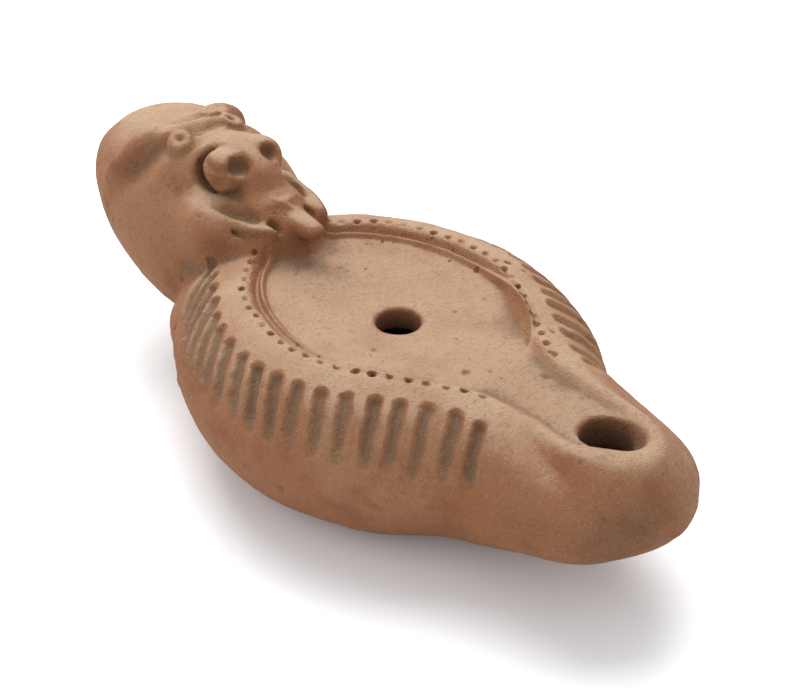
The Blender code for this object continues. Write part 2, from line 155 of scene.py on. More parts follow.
# %% The block of clay
class Clay:
    """The field and the places of its grid."""

    def __init__(self):
        sizes = np.ceil((HIGH - LOW) / STEP).astype(int)
        self.axes = [low + STEP * np.arange(size) for low, size in zip(LOW, sizes)]
        self.skin = np.full(sizes, OPEN_AIR)

    def block(self, low, high):
        """The part of the grid between two corners, and its places."""
        parts = []
        for axis, a, b in zip(self.axes, low, high):
            first = max(int(np.searchsorted(axis, a)) - 1, 0)
            last = min(int(np.searchsorted(axis, b)) + 1, len(axis))
            parts.append(slice(first, last))
        x, y, z = (axis[part] for axis, part in zip(self.axes, parts))
        return tuple(parts), (x[:, None, None], y[None, :, None], z[None, None, :])

    def on_skin(self, places, lift=0.0):
        """Places moved to the nearest skin, then lifted off it."""
        found = []
        for place in places:
            here = np.array(place, float)
            for _ in range(6):
                spot = (here - LOW) / STEP
                corner = np.clip(spot.astype(int), 1, np.array(self.skin.shape) - 3)
                near = self.skin[tuple(slice(k - 1, k + 3) for k in corner)]
                slope = np.array([s[1:3, 1:3, 1:3].mean() for s in np.gradient(near, STEP)])
                weights = [np.array((1 - part_way, part_way)) for part_way in spot - corner]
                away = np.einsum("ijk,i,j,k", near[1:3, 1:3, 1:3], *weights)
                out = slope / max(np.linalg.norm(slope), 1e-6)
                here = here - out * away
            found.append(tuple(here + out * lift))
        return found

    def work(self, shape, blend, cut=False, sides=BOTH):
        """Add a shape to the clay or cut it away, on the far side (1), the near side (-1) or both."""
        low, high, distance = shape
        room = blend + SPARE_ROOM
        for side in sides:
            ends = sorted((side * low[0], side * high[0]))
            part, (x, y, z) = self.block((ends[0] - room, low[1] - room, low[2] - room),
                                         (ends[1] + room, high[1] + room, high[2] + room))
            away = distance(side * x, y, z)
            before = self.skin[part]
            self.skin[part] = larger(before, -away, blend) if cut else smaller(before, away, blend)

    def volume(self):
        """How much clay there is, in cubic centimetres."""
        return round(float(np.sum(self.skin < 0)) * STEP ** 3 / 1000, 1)


clay = Clay()
print("the block has", clay.skin.size, "places and", clay.volume(), "cubic centimetres of clay")


# %% Shapes to add or cut: eggs, discs and rods
def egg(centre, radii, tilt=0.0, lean=0.0):
    """An egg-shaped lump, tilted with its back up and leaned sideways, in degrees."""
    spin = Matrix.Rotation(math.radians(lean), 3, "Y") @ Matrix.Rotation(math.radians(tilt), 3, "X")
    spin = np.array(spin.inverted())
    widest = max(radii)

    def distance(x, y, z):
        px, py, pz = x - centre[0], y - centre[1], z - centre[2]
        across = [spin[i, 0] * px + spin[i, 1] * py + spin[i, 2] * pz for i in range(3)]
        near = np.sqrt(sum((a / r) ** 2 for a, r in zip(across, radii))) + 1e-6
        steep = np.sqrt(sum((a / (r * r)) ** 2 for a, r in zip(across, radii))) + 1e-6
        return near * (near - 1) / steep

    return np.array(centre) - widest, np.array(centre) + widest, distance


def disc(centre, axis, radius, height, soft=0.5):
    """A round button with its face along an axis."""
    axis = np.array(axis) / np.linalg.norm(axis)

    def distance(x, y, z):
        px, py, pz = x - centre[0], y - centre[1], z - centre[2]
        up = px * axis[0] + py * axis[1] + pz * axis[2]
        out = np.sqrt(np.clip(px * px + py * py + pz * pz - up * up, 0, None))
        out, up = out - radius + soft, np.abs(up) - height + soft
        outside = np.hypot(np.clip(out, 0, None), np.clip(up, 0, None))
        return outside + np.clip(np.maximum(out, up), None, 0) - soft

    return np.array(centre) - radius, np.array(centre) + radius, distance


def rod(places, radii, flat=1.0):
    """A bent rod through places, with a radius at each, and its height made flat by a share."""
    path = smooth_curve(places, steps=5)
    sizes = smooth_curve([(r,) for r in np.broadcast_to(radii, len(places))], steps=5)[:, 0]
    low, high = path.min(0) - sizes.max(), path.max(0) + sizes.max()

    def distance(x, y, z):
        best = None
        for a, b, ra, rb in zip(path, path[1:], sizes, sizes[1:]):
            along = b - a
            length = along @ along
            t = ((x - a[0]) * along[0] + (y - a[1]) * along[1] + (z - a[2]) * along[2]) / length
            t = np.clip(t, 0, 1)
            away = np.sqrt((x - a[0] - t * along[0]) ** 2 + (y - a[1] - t * along[1]) ** 2
                           + ((z - a[2] - t * along[2]) / flat) ** 2) - (ra + (rb - ra) * t)
            best = away if best is None else np.minimum(best, away)
        return best

    return low, high, distance


ball = egg((0.0, 0.0, 0.0), (1.0, 1.0, 1.0))
print("3 mm from its middle, the skin of a ball 2 mm wide is", round(float(ball[2](3.0, 0.0, 0.0)), 2), "mm away")

# %% [markdown]
# ## The body
#
# The shoulder falls from the rim to the seam in a rounded quarter, and the underside turns in
# below the seam to a small flat base. The underside lifts towards the nozzle and towards the
# head. A rounded quarter needs only two powers, one sideways and one upwards, so the whole
# body is one rule applied to the two plans.

# %% Body
SEAM_Z = 18.2
RIM_Z = 30.1
NOZZLE_DROP = 0.5
NOZZLE_DROP_Y = (-30.0, -60.0)
NOZZLE_UNDER_Z = 11.7
NOZZLE_UNDER_Y = (-26.0, -68.0)
BACK_UNDER_Z = 9.7
BACK_UNDER_Y = (13.0, 33.0)
BASE_SHARE = 0.47
SHOULDER = (1.41, 1.76)
UNDER = (2.2, 2.2)


def crown_z(y):
    """The height of the rim, which drops a little towards the nozzle."""
    return RIM_Z - NOZZLE_DROP * ease(y, *NOZZLE_DROP_Y)


def rounded(share_out, share_up, powers):
    """A rounded quarter: 0 on its skin, minus inside."""
    return np.clip(share_out, 0, None) ** powers[0] + np.clip(share_up, 0, None) ** powers[1] - 1


x, y, z = (axis.reshape([-1 if i == k else 1 for i in range(3)]) for k, axis in enumerate(clay.axes))
turn = np.arctan2(x, y - MIDDLE_Y)
away = np.hypot(x, y - MIDDLE_Y)
outer = np.interp(turn, *outline_reach, period=math.tau)
inner = np.interp(turn, *rim_reach, period=math.tau)
crown = crown_z(y)
keel = NOZZLE_UNDER_Z * ease(y, *NOZZLE_UNDER_Y) + BACK_UNDER_Z * ease(y, *BACK_UNDER_Y)
upper = rounded((away - inner) / (outer - inner), (z - SEAM_Z) / (crown - SEAM_Z), SHOULDER)
lower = rounded((away / outer - BASE_SHARE) / (1 - BASE_SHARE), (SEAM_Z - z) / (SEAM_Z - keel), UNDER)
body = np.clip(evened(np.where(z > SEAM_Z, upper, lower)), -DEEP_INSIDE, OPEN_AIR)
body_width = round(2 * float(outline[:, 0].max()), 1)
print("the body is", body_width, "mm wide and", BODY_BACK - NOZZLE_TIP, "mm long")

# %% [markdown]
# ## A nozzle smoothed by hand
#
# The rule leaves an edge where the top meets the sides. On the real nozzle that edge is gone,
# because it was smoothed while the clay was wet. Averaging each place of the field with its
# neighbours does the same, and an easing along the nozzle leaves the rest of the body crisp.

# %% Soft nozzle
SOFT_REACH = 1.68
SOFT_FROM_Y = -22.0
SOFT_Y = (-26.0, -40.0)
END_LAYERS = 4  # the averaging wraps round at the grid's end, so these layers stay as they are


def softened(value, rounds):
    """A field with its ridges worn soft, by averaging each place with its neighbours."""
    for _ in range(rounds):
        for axis in range(3):
            ahead, behind = np.roll(value, 1, axis), np.roll(value, -1, axis)
            value = value * 0.5 + (ahead + behind) * 0.25
    return value


nozzle_end = int(np.searchsorted(clay.axes[1], SOFT_FROM_Y))
nozzle = body[:, :nozzle_end]
change = (softened(nozzle, round((SOFT_REACH / STEP) ** 2)) - nozzle) * ease(y[:, :nozzle_end], *SOFT_Y)
body[:, END_LAYERS:nozzle_end] += change[:, END_LAYERS:]
clay.skin = np.maximum(body, -z)
print("without its hollow the body takes", clay.volume(), "cubic centimetres of clay")

# %% [markdown]
# ## The oil chamber
#
# Clay was pressed into both mould halves as a wall of even thickness, so the chamber is the
# body again, a wall smaller, under a nearly level roof. Round the filling hole the roof is
# left thicker, as a collar, so that the hole shows a deep wall as the real one does.

# %% Oil chamber, kept until it is cut
FILL_Y = -9.0
WALL = 4.2
ROOF_Z = 23.6
ROOF_DROP = 1.6
ROOF_DROP_Y = (-35.0, -62.0)
COLLAR_DROP = 1.9
COLLAR_REACH = (14.0, 6.0)

collar = ease(np.hypot(x, y - FILL_Y), *COLLAR_REACH)
roof = ROOF_Z - ROOF_DROP * ease(y, *ROOF_DROP_Y) - COLLAR_DROP * collar
hollow = np.maximum(body + WALL, z - roof)
print("the chamber holds", round(float(np.sum(hollow < 0)) * STEP ** 3 / 1000, 1), "cubic centimetres of oil")

# %% [markdown]
# ## The sunken top
#
# The top of the body is a shallow dish, so spilled oil runs back to the filling hole. It
# climbs to the rim in a short slope, and the same slope borders the trough that leads to the
# wick hole. So the whole top is one height map, reckoned from the distance to the rim.

# %% Dish and channel as one height map
DISH_Y = -7.8
DISH_SIZE = (18.7, 26.1)
DISH_EDGE_Z = 28.5
DISH_DEPTH = 2.4
RIM_SLOPE = 2.9
CHANNEL_RISE = 1.1
CHANNEL_RISE_Y = (-50.0, -62.0)
CREST_LIFT = 0.1  # the slope ends just past the rim and just above it, so no step is left
CUT_END = 0.8
CREST_BLEND = 0.5

flat_x, flat_y = x[:, :, 0], y[:, :, 0]
from_rim = np.sqrt(np.min([(flat_x - px) ** 2 + (flat_y - py) ** 2 for px, py in rim[::2]], axis=0))
from_rim = np.where(away[:, :, 0] > inner[:, :, 0], from_rim, -from_rim)
oval = np.hypot(flat_x / DISH_SIZE[0], (flat_y - DISH_Y) / DISH_SIZE[1])
floor_z = DISH_EDGE_Z + CHANNEL_RISE * ease(flat_y, *CHANNEL_RISE_Y)
climb = ease(from_rim, -RIM_SLOPE, CREST_LIFT)
top = floor_z + (crown[:, :, 0] + CREST_LIFT - floor_z) * climb - DISH_DEPTH * np.clip(1 - oval ** 2, 0, 1)
slope = np.sqrt(1 + sum(s * s for s in np.gradient(top, STEP)))
sunken = (z - top[:, :, None]) / slope[:, :, None]
sunken = np.where(from_rim[:, :, None] > CUT_END, -OPEN_AIR, sunken)
clay.skin = larger(clay.skin, sunken, CREST_BLEND)
print("the dish is", DISH_DEPTH, "mm deep at its middle")

# %% [markdown]
# ## The head
#
# The handle is an animal's head with its mouth wide open over the rim. It was modelled by
# hand on the first lamp and then moulded, so its forms are soft lumps: a broad neck, two ears
# swept back as ridges, button eyes, a wrinkled bridge, two round nostrils, the root of the
# tongue, and the tongue that hangs over the rim between two lips. Each lump below is written
# as its middle, its half sizes, its tilt and how softly it joins.

# %% Neck and skull
# Each row is a place along y, a half width, a top and a bottom
NECK = ((19.0, 0.5, 20.3, 19.7), (22.0, 7.0, 26.5, 15.0), (26.0, 10.8, 32.0, 10.5),
        (31.0, 14.0, 36.4, 8.0), (38.0, 16.9, 39.7, 7.2), (45.0, 17.7, 41.4, 9.6),
        (52.0, 16.9, 41.9, 14.4), (58.0, 14.8, 41.2, 19.8), (63.0, 11.8, 39.5, 24.6),
        (67.0, 7.8, 36.9, 28.2), (69.0, 4.0, 34.8, 30.6), (69.7, 0.5, 33.0, 32.4))
NECK_SWELL = 0.3
NECK_BLEND = 4.0
HEAD_BLOCK = ((-27.0, 14.0, -2.0), (27.0, 73.0, 50.0))

stations = smooth_curve(NECK, steps=8)
part, (px, py, pz) = clay.block(*HEAD_BLOCK)
wide, high_z, low_z = (np.interp(py, stations[:, 0], stations[:, k]) for k in (1, 2, 3))
beyond = np.maximum(np.clip(NECK[0][0] - py, 0, None), np.clip(py - NECK[-1][0], 0, None))
middle_z, half_z = (high_z + low_z) / 2, (high_z - low_z) / 2
share_out = np.sqrt((px / wide) ** 2 + ((pz - middle_z) / half_z) ** 2) + 1e-6
radial = np.hypot(px, pz - middle_z) * (1 - 1 / share_out) - NECK_SWELL + beyond
clay.skin[part] = smaller(clay.skin[part], np.clip(evened(radial), -OPEN_AIR, OPEN_AIR), NECK_BLEND)
print("with the neck and skull there are", clay.volume(), "cubic centimetres of clay")


# %% Brow, muzzle, jaw and chin
def lumps(*shapes, cut=False, sides=MIDDLE):
    """Add or cut lumps, each a middle, half sizes, a tilt and a blend."""
    for middle, half_sizes, tilt, blend in shapes:
        clay.work(egg(middle, half_sizes, tilt), blend, cut, sides)


BROW = ((0, 44.5, 36.4), (11.5, 8.0, 6.4), 0, 4.0)
MUZZLE = ((0, 36.5, 37.8), (7.4, 9.0, 6.0), -4, 3.0)
JAW = ((0, 27.0, 29.6), (9.6, 12.0, 5.4), 12, 3.0)
CHIN = ((0, 21.6, 30.8), (6.2, 5.6, 4.4), 0, 2.0)
lumps(BROW, MUZZLE, JAW, CHIN)
print("with the brow and jaws there are", clay.volume(), "cubic centimetres of clay")


# %% Ears swept back as ridges, with a hollow in front of each
def groove(places, radii, blend, lift, sides=BOTH):
    """Draw a groove along places on the skin, with its middle lifted off it."""
    clay.work(rod(clay.on_skin(places, lift), radii), blend, cut=True, sides=sides)


EAR = ((2.4, 48.0, 40.9), (6.5, 48.6, 41.8), (10.8, 49.6, 40.2), (14.0, 51.2, 37.5), (15.2, 53.2, 34.8))
EAR_RADII = (1.5, 1.9, 1.8, 1.4, 0.6)
FAR_EAR_SPREAD = 0.92
EAR_HOLLOW = ((8.6, 45.0, 41.2), (12.4, 46.4, 38.6), (15.4, 48.8, 34.6))
groove(EAR_HOLLOW, (1.2, 2.3, 1.2), 3.0, 1.2)
for sides, spread in ((NEAR, 1.0), (FAR, FAR_EAR_SPREAD)):
    clay.work(rod(np.multiply(EAR, (spread, 1, 1)), EAR_RADII), 2.2, sides=sides)
print("the ears reach", EAR[-1][0], "mm out from the middle")

# %% Band of brow across the forehead, the tuft behind it and the wrinkled bridge
BROW_BAND = ((0, 43.6, 42.8), (3.6, 44.6, 43.0), (7.0, 46.0, 42.2))
STREAK = ((-6.0, 50.4, 43.5), (-3.4, 47.6, 44.1), (-1.0, 45.2, 44.0))
STREAKS = 5
STREAK_STEP = (1.5, -0.4, 0.0)
FOLD = ((-5.0, 42.3, 42.5), (-1.6, 40.9, 43.6), (2.2, 41.4, 43.4), (4.6, 42.8, 42.4))
FOLDS = 4
FOLD_STEP = (0.0, -1.7, 0.0)
clay.work(rod(BROW_BAND, (1.2, 1.2, 0.9)), 1.6)
for k in range(STREAKS):
    groove(np.add(STREAK, np.multiply(STREAK_STEP, k)), (0.3, 0.8, 0.3), 0.4, 0.1, MIDDLE)
for k in range(FOLDS):
    groove(np.add(FOLD, np.multiply(FOLD_STEP, k)), (0.4, 0.8, 0.7, 0.4), 0.5, 0.35, MIDDLE)
print(STREAKS, "streaks and", FOLDS, "folds are drawn")

# %% Eyes
NEAR_EYE = (6.2, 42.1, 42.1)
FAR_EYE = (5.1, 42.2, 42.4)
EYE_AXIS = (0.35, -0.2, 0.91)
EYE_RADIUS = 2.3
EYE_HEIGHT = 1.1
LID = ((-2.0, -2.4, 0.8), (0.0, -3.2, 0.1), (2.4, -2.1, -0.9))  # from the middle of the eye
PUPIL = (0.25, -0.1, 1.35)
PUPIL_SIZE = (0.85, 0.8, 1.0)
for sides, eye in ((NEAR, NEAR_EYE), (FAR, FAR_EYE)):
    clay.work(rod(np.add(eye, LID), (0.3, 0.6, 0.5)), 0.6, cut=True, sides=sides)
    clay.work(disc(eye, EYE_AXIS, EYE_RADIUS, EYE_HEIGHT), 0.5, sides=sides)
    clay.work(egg(np.add(eye, PUPIL), PUPIL_SIZE), 0.4, cut=True, sides=sides)
print("the eyes are", 2 * EYE_RADIUS, "mm wide")

# %% Nose: two curls beside the bridge, each round a deep nostril
BRIDGE = ((0, 33.6, 39.4), (4.4, 6.8, 4.7), 0, 1.8)
NOSE_TIP = ((0.4, 28.0, 37.6), (4.2, 4.4, 4.0), 34, 2.0)
CURL_BED = ((4.9, 32.4, 39.6), (4.7, 5.0, 4.3), 0, 1.2)
NEAR_CURL = ((4.1, 31.7, 40.1), (3.9, 4.3, 3.7), 10, 0.9)
FAR_CURL = ((3.6, 32.0, 40.2), (3.9, 4.3, 3.6), 10, 1.6)
CURL_LINE = ((7.9, 34.6, 38.4), (8.1, 32.4, 38.1), (8.3, 30.2, 38.2), (8.5, 28.0, 38.7))
CURL_LINE_STEPS = ((0.0, 0.0, 0.0), (-0.9, 0.0, 1.5), (-1.8, 0.0, 3.1))
NEAR_NOSTRIL = ((3.5, 28.6, 41.6), (1.9, 1.8, 1.7))
FAR_NOSTRIL = ((3.4, 28.9, 41.8), (1.6, 1.7, 1.4))
lumps(BRIDGE, NOSE_TIP)
lumps(CURL_BED, cut=True, sides=NEAR)
lumps(NEAR_CURL, sides=NEAR)
lumps(FAR_CURL, sides=FAR)
for step in CURL_LINE_STEPS:
    groove(np.add(CURL_LINE, step), (0.3, 0.7, 0.7, 0.3), 0.6, 0.35, NEAR)
for sides, nostril in ((NEAR, NEAR_NOSTRIL), (FAR, FAR_NOSTRIL)):
    clay.work(egg(*nostril, tilt=30, lean=10), 1.1, cut=True, sides=sides)
print("with the nose there are", clay.volume(), "cubic centimetres of clay")

# %% Mouth and tongue
MOUTH = ((0, 25.4, 31.2), (9.4, 7.8, 4.6), 6, 2.4)
MOUTH_FRONT = ((0, 21.2, 31.2), (6.2, 4.6, 3.4), 0, 2.0)
TONGUE_ROOT = ((0, 23.6, 35.3), (4.9, 4.2, 2.5), 16, 1.8)
ROOT_EDGE = ((-3.9, 22.2, 36.0), (0.0, 20.4, 36.6), (3.7, 22.0, 35.8))
TONGUE = ((0, 21.0, 33.9), (0.3, 17.0, 34.0), (0.6, 13.6, 33.6))
lumps(MOUTH, MOUTH_FRONT, TONGUE_ROOT)
clay.work(rod(ROOT_EDGE, (0.4, 0.7, 0.4)), 0.6, sides=MIDDLE)
clay.work(rod(TONGUE, (2.7, 2.5, 2.0), flat=0.8), 1.4, sides=MIDDLE)
print("the tongue ends", round(TONGUE[-1][1] - DISH_Y, 1), "mm behind the middle of the dish")

# %% Lips, which the mould left a little unlike each other
CHEEK = ((10.2, 30.0, 31.0), (4.4, 6.0, 5.0), 0, 4.0)
JOWL = ((10.2, 27.5, 31.4), (8.6, 23.5, 30.6), (6.2, 19.8, 30.2))
NEAR_LIP = ((10.4, 28.4, 35.0), (8.8, 24.8, 34.2), (7.3, 20.8, 33.6), (4.6, 17.6, 33.6))
FAR_LIP = ((8.6, 30.4, 34.6), (8.0, 26.1, 33.2), (7.6, 22.4, 32.9), (6.4, 18.8, 32.8))
NEAR_GAP = ((9.0, 28.0, 36.6), (7.0, 24.6, 35.4), (5.7, 21.8, 34.9))
FAR_GAP = ((7.2, 29.4, 35.4), (6.8, 26.4, 34.8), (6.0, 23.2, 34.4))
UNDER_LIP = ((8.9, 23.4, 33.0), (7.6, 20.4, 32.8), (6.2, 18.2, 33.0))
TONGUE_RIDGE = ((-1.6, 21.8, 37.2), (-0.4, 19.6, 36.4), (0.6, 17.6, 35.8))
BESIDE_TONGUE = ((3.9, 18.4, 33.8), (0.8, 1.8, 1.2), 0, 0.8)
lumps(CHEEK, sides=NEAR)
clay.work(rod(JOWL, (2.4, 2.2, 1.6)), 3.0, sides=NEAR)
clay.work(rod(NEAR_LIP, (0.6, 0.95, 1.0, 0.9)), 1.6, sides=NEAR)
clay.work(rod(FAR_LIP, (0.7, 1.3, 1.3, 1.3)), 2.4, sides=FAR)
clay.work(rod(NEAR_GAP, (1.0, 1.5, 0.8)), 0.9, cut=True, sides=NEAR)
clay.work(rod(FAR_GAP, (0.4, 0.9, 0.6)), 0.6, cut=True, sides=FAR)
groove(UNDER_LIP, (0.3, 0.7, 0.4), 0.7, 0.1, NEAR)
clay.work(rod(TONGUE_RIDGE, (0.3, 0.6, 0.3)), 0.6, sides=MIDDLE)
lumps(BESIDE_TONGUE, cut=True, sides=BOTH)
print("with the whole head there are", clay.volume(), "cubic centimetres of clay")

# %% [markdown]
# ## Opening the holes
#
# The chamber and both holes are cut last, as the potter did once the clay was leather-hard.
# The wick hole opens into a scoop towards the tip, where the wick lay. A copy of the uncut
# clay is kept, because it tells later which parts of the skin lie inside.

# %% Chamber, filling hole and wick hole
FILL_RADIUS = 3.8
WICK_Y = -54.7
WICK_RADIUS = 4.1
HOLE_HEIGHTS = (18.0, 27.0, 36.0)
HOLE_BLEND = 0.5
WICK_SCOOP = ((0.8, -56.7, 29.5), (3.3, 4.0, 3.2), 20, 1.2)
uncut = clay.skin.copy()
clay.skin = np.maximum(clay.skin, -hollow)
for hole_y, radius in ((FILL_Y, FILL_RADIUS), (WICK_Y, WICK_RADIUS)):
    bore = rod([(0.0, hole_y, height) for height in HOLE_HEIGHTS], radius)
    clay.work(bore, HOLE_BLEND, cut=True, sides=MIDDLE)
lumps(WICK_SCOOP, cut=True)
print("the opened lamp keeps", clay.volume(), "cubic centimetres of clay")

# %% [markdown]
# ## From field to mesh
#
# The skin lies where the distance passes through zero. The library openvdb, which comes with
# Blender, finds it and lays a net of even faces over it.

# %% Turn the field into a mesh
SKIN_BAND = 3.0
grid = openvdb.FloatGrid(background=SKIN_BAND)
grid.copyFromArray(np.clip(clay.skin, -SKIN_BAND, SKIN_BAND).astype(np.float32), tolerance=0.0)
points, triangles, quads = grid.convertToPolygons(isovalue=0.0, adaptivity=0.0)
mesh = bpy.data.meshes.new("lamp_body")
mesh.from_pydata(((points * STEP + LOW) * MM).tolist(), [], quads.tolist() + triangles.tolist())
lamp = bpy.data.objects.new("lamp_body", mesh)
bpy.context.scene.collection.objects.link(lamp)
print("the skin has", len(mesh.vertices), "points")

# %% [markdown]
# ## The fine ring
#
# The ring is only half a millimetre wide, finer than the grid. So the skin is divided more
# finely along the ring and the rim, and a little along the strokes, and the ring is raised on
# it directly. It stays crisp on the far side and near the head, and fades where it is rubbed.

# %% Finer skin along the ring, the rim and the strokes
FINE_REACH = 1.7
TOP_FROM_Z = 25.5
FINE_RIM_FROM_Y = -40.0
STROKES_FROM_SHARE = 0.72
STROKES_Y = (-46.0, 27.0)
STROKES_Z = (20.0, 29.2)


def ring_distance(x, y):
    """How far a place lies outside the ring's oval."""
    oval = np.hypot(x / DISH_SIZE[0], (y - DISH_Y) / DISH_SIZE[1]) + 1e-6
    return oval * (oval - 1) / (np.hypot(x / DISH_SIZE[0] ** 2, (y - DISH_Y) / DISH_SIZE[1] ** 2) + 1e-6)


work = bmesh.new()
work.from_mesh(mesh)
co = np.array([v.co for v in work.verts]) / MM
turns = np.arctan2(co[:, 0], co[:, 1] - MIDDLE_Y)
column = np.clip(np.round((co[:, :2] - LOW[:2]) / STEP).astype(int), 0, np.array(from_rim.shape) - 1)
near_rim = np.abs(from_rim[column[:, 0], column[:, 1]]) < FINE_REACH
near_ring = np.abs(ring_distance(co[:, 0], co[:, 1])) < FINE_REACH
far_out = np.hypot(co[:, 0], co[:, 1] - MIDDLE_Y) / np.interp(turns, *outline_reach, period=math.tau)
ring_band = (near_rim & (co[:, 1] > FINE_RIM_FROM_Y) | near_ring) & (co[:, 2] > TOP_FROM_Z)
stroke_band = (far_out > STROKES_FROM_SHARE) & (co[:, 1] > STROKES_Y[0]) & (co[:, 1] < STROKES_Y[1])
stroke_band &= (co[:, 2] > STROKES_Z[0]) & (co[:, 2] < STROKES_Z[1])
for band, cuts in ((ring_band, 2), (stroke_band & ~ring_band, 1)):
    chosen = [edge for edge in work.edges if all(v.index < len(band) and band[v.index] for v in edge.verts)]
    bmesh.ops.subdivide_edges(work, edges=chosen, cuts=cuts, use_grid_fill=True)
work.to_mesh(mesh)
work.free()
print("the finer skin has", len(mesh.vertices), "points")

# %% The ring itself
RING_HEIGHT = 0.65
RING_HALF_WIDTH = 0.45
GROOVE_SHARE = 0.5
GROOVE_OUT = 1.0
RING_WORN = 0.15
RING_TURNS = (-180, -165, -130, -110, -60, 130, 160, 180)
RING_CRISP = (0, 0, 0.1, 0.6, 1, 1, 0.5, 0)
RING_FROM_Z = (25.5, 27.0)
RING_BELOW_Z = (32.0, 30.5)
RING_FROM_Y = (-33.0, -29.0)

co = np.empty(len(mesh.vertices) * 3)
mesh.vertices.foreach_get("co", co)
co = co.reshape(-1, 3)
x, y, z = (co / MM).T
from_oval = ring_distance(x, y)
turns = np.degrees(np.arctan2(x / DISH_SIZE[0], (y - DISH_Y) / DISH_SIZE[1]))
crisp = RING_WORN + (1 - RING_WORN) * np.interp(turns, RING_TURNS, RING_CRISP)
lift = RING_HEIGHT * np.exp(-(from_oval / RING_HALF_WIDTH) ** 2)
lift -= GROOVE_SHARE * RING_HEIGHT * np.exp(-((from_oval - GROOVE_OUT) / RING_HALF_WIDTH) ** 2)
lift *= crisp * ease(z, *RING_FROM_Z) * ease(z, *RING_BELOW_Z) * ease(y, *RING_FROM_Y)
co[:, 2] += lift * MM
mesh.vertices.foreach_set("co", co.ravel())
mesh.update()
print("the ring rises", round(float(lift.max()), 2), "mm at most")

# %% [markdown]
# ## Helpers for node trees
#
# The strokes, the dots and the clay's colours are all node trees. A wrapper lets the sums in
# them be written as ordinary sums, and a few short functions open, close and run a tree.


# %% Sums written on sockets
class Wire:
    """One output of a node, which can be reckoned with like a number."""

    def __init__(self, net, socket):
        self.net = net
        self.socket = socket

    def __add__(self, other):
        return self.net.math("ADD", self, other)

    def __sub__(self, other):
        return self.net.math("SUBTRACT", self, other)

    def __rsub__(self, other):
        return self.net.math("SUBTRACT", other, self)

    def __mul__(self, other):
        return self.net.math("MULTIPLY", self, other)

    def __truediv__(self, other):
        return self.net.math("DIVIDE", self, other)

    def __pow__(self, other):
        return self.net.math("POWER", self, other)

    __radd__ = __add__
    __rmul__ = __mul__


class Net:
    """A node tree that is written by calls."""

    def __init__(self, tree):
        self.tree = tree

    def node(self, kind, settings=(), **sockets):
        """A new node of a kind with its settings, fed by name with numbers or wires."""
        made = self.tree.nodes.new(kind)
        for name, value in dict(settings).items():
            setattr(made, name, value)
        for name, value in sockets.items():
            slot = made.inputs[int(name[1:]) if name[0] == "_" else name.replace("_", " ")]
            if isinstance(value, Wire):
                self.tree.links.new(value.socket, slot)
            else:
                slot.default_value = value
        return made

    def wire(self, kind, settings=(), out=0, **sockets):
        """The same, giving one of the node's outputs."""
        return Wire(self, self.node(kind, settings, **sockets).outputs[out])

    def math(self, operation, *values):
        """One step of a sum."""
        slots = {f"_{k}": value for k, value in enumerate(values)}
        return self.wire("ShaderNodeMath", {"operation": operation}, **slots)

    def vector(self, operation, first, **sockets):
        """One step of a sum of vectors."""
        return self.wire("ShaderNodeVectorMath", {"operation": operation}, _0=first, **sockets)

    def random(self, low, high, kind="FLOAT", **sockets):
        """A random number, or a random vector, between two."""
        made = self.node("FunctionNodeRandomValue", {"data_type": kind}, **sockets)
        out, slots = (0, (0, 1)) if kind == "FLOAT_VECTOR" else (1, (2, 3))
        for slot, value in zip(slots, (low, high)):
            made.inputs[slot].default_value = value
        return Wire(self, made.outputs[out])

    def between(self, value, start, end, first=0.0, last=1.0):
        """A value brought smoothly from one range to another."""
        return self.wire("ShaderNodeMapRange", {"interpolation_type": "SMOOTHSTEP"}, Value=value,
                         From_Min=start, From_Max=end, To_Min=first, To_Max=last)


print("sockets can now be added, subtracted, multiplied, divided and raised to a power")


# %% Opening, closing and running a tree
def geometry_tree(name, inputs):
    """An empty tree for a modifier, with named inputs, and its net and input wires."""
    tree = bpy.data.node_groups.new(name, "GeometryNodeTree")
    tree.interface.new_socket("Geometry", in_out="INPUT", socket_type="NodeSocketGeometry")
    tree.interface.new_socket("Geometry", in_out="OUTPUT", socket_type="NodeSocketGeometry")
    for label, kind in inputs:
        tree.interface.new_socket(label, in_out="INPUT", socket_type="NodeSocket" + kind)
    net = Net(tree)
    entry = tree.nodes.new("NodeGroupInput")
    return tree, net, {socket.name: Wire(net, socket) for socket in entry.outputs if socket.name}


def end_tree(net, geometry, coat):
    """Close a tree: real geometry in the clay's material."""
    real = net.wire("GeometryNodeRealizeInstances", Geometry=geometry)
    painted = net.wire("GeometryNodeSetMaterial", Geometry=real, Material=coat)
    net.node("NodeGroupOutput", Geometry=painted)
    print("the tree", net.tree.name, "has", len(net.tree.nodes), "nodes")


def apply_tree(target, tree, values):
    """Run a tree on an object with its inputs set, and keep the result as plain geometry."""
    change = target.modifiers.new(tree.name, "NODES")
    for item in tree.interface.items_tree:
        if item.in_out == "INPUT" and item.name in values:
            change[item.identifier] = values[item.name]
    change.node_group = tree
    keep_result(target)


def keep_result(target):
    """Replace an object's mesh with what its modifiers make of it."""
    depsgraph = bpy.context.evaluated_depsgraph_get()
    made = bpy.data.meshes.new_from_object(target.evaluated_get(depsgraph))
    target.modifiers.clear()
    old = target.data
    target.data = made
    bpy.data.meshes.remove(old)


def guide(name, places):
    """A curve through places, which only leads the trees and is taken away afterwards."""
    data = bpy.data.curves.new(name, "CURVE")
    data.dimensions = "3D"
    line = data.splines.new("POLY")
    line.points.add(len(places) - 1)
    line.points.foreach_set("co", np.column_stack((np.array(places) * MM, np.ones(len(places)))).ravel())
    made = bpy.data.objects.new(name, data)
    bpy.context.scene.collection.objects.link(made)
    return made


print("trees will run on", lamp.name)

# %% [markdown]
# ## The material's name first
#
# Every tree ends by giving its result a material. So the clay's material is made here, still
# plain, and it gets its colours once the shape is finished.

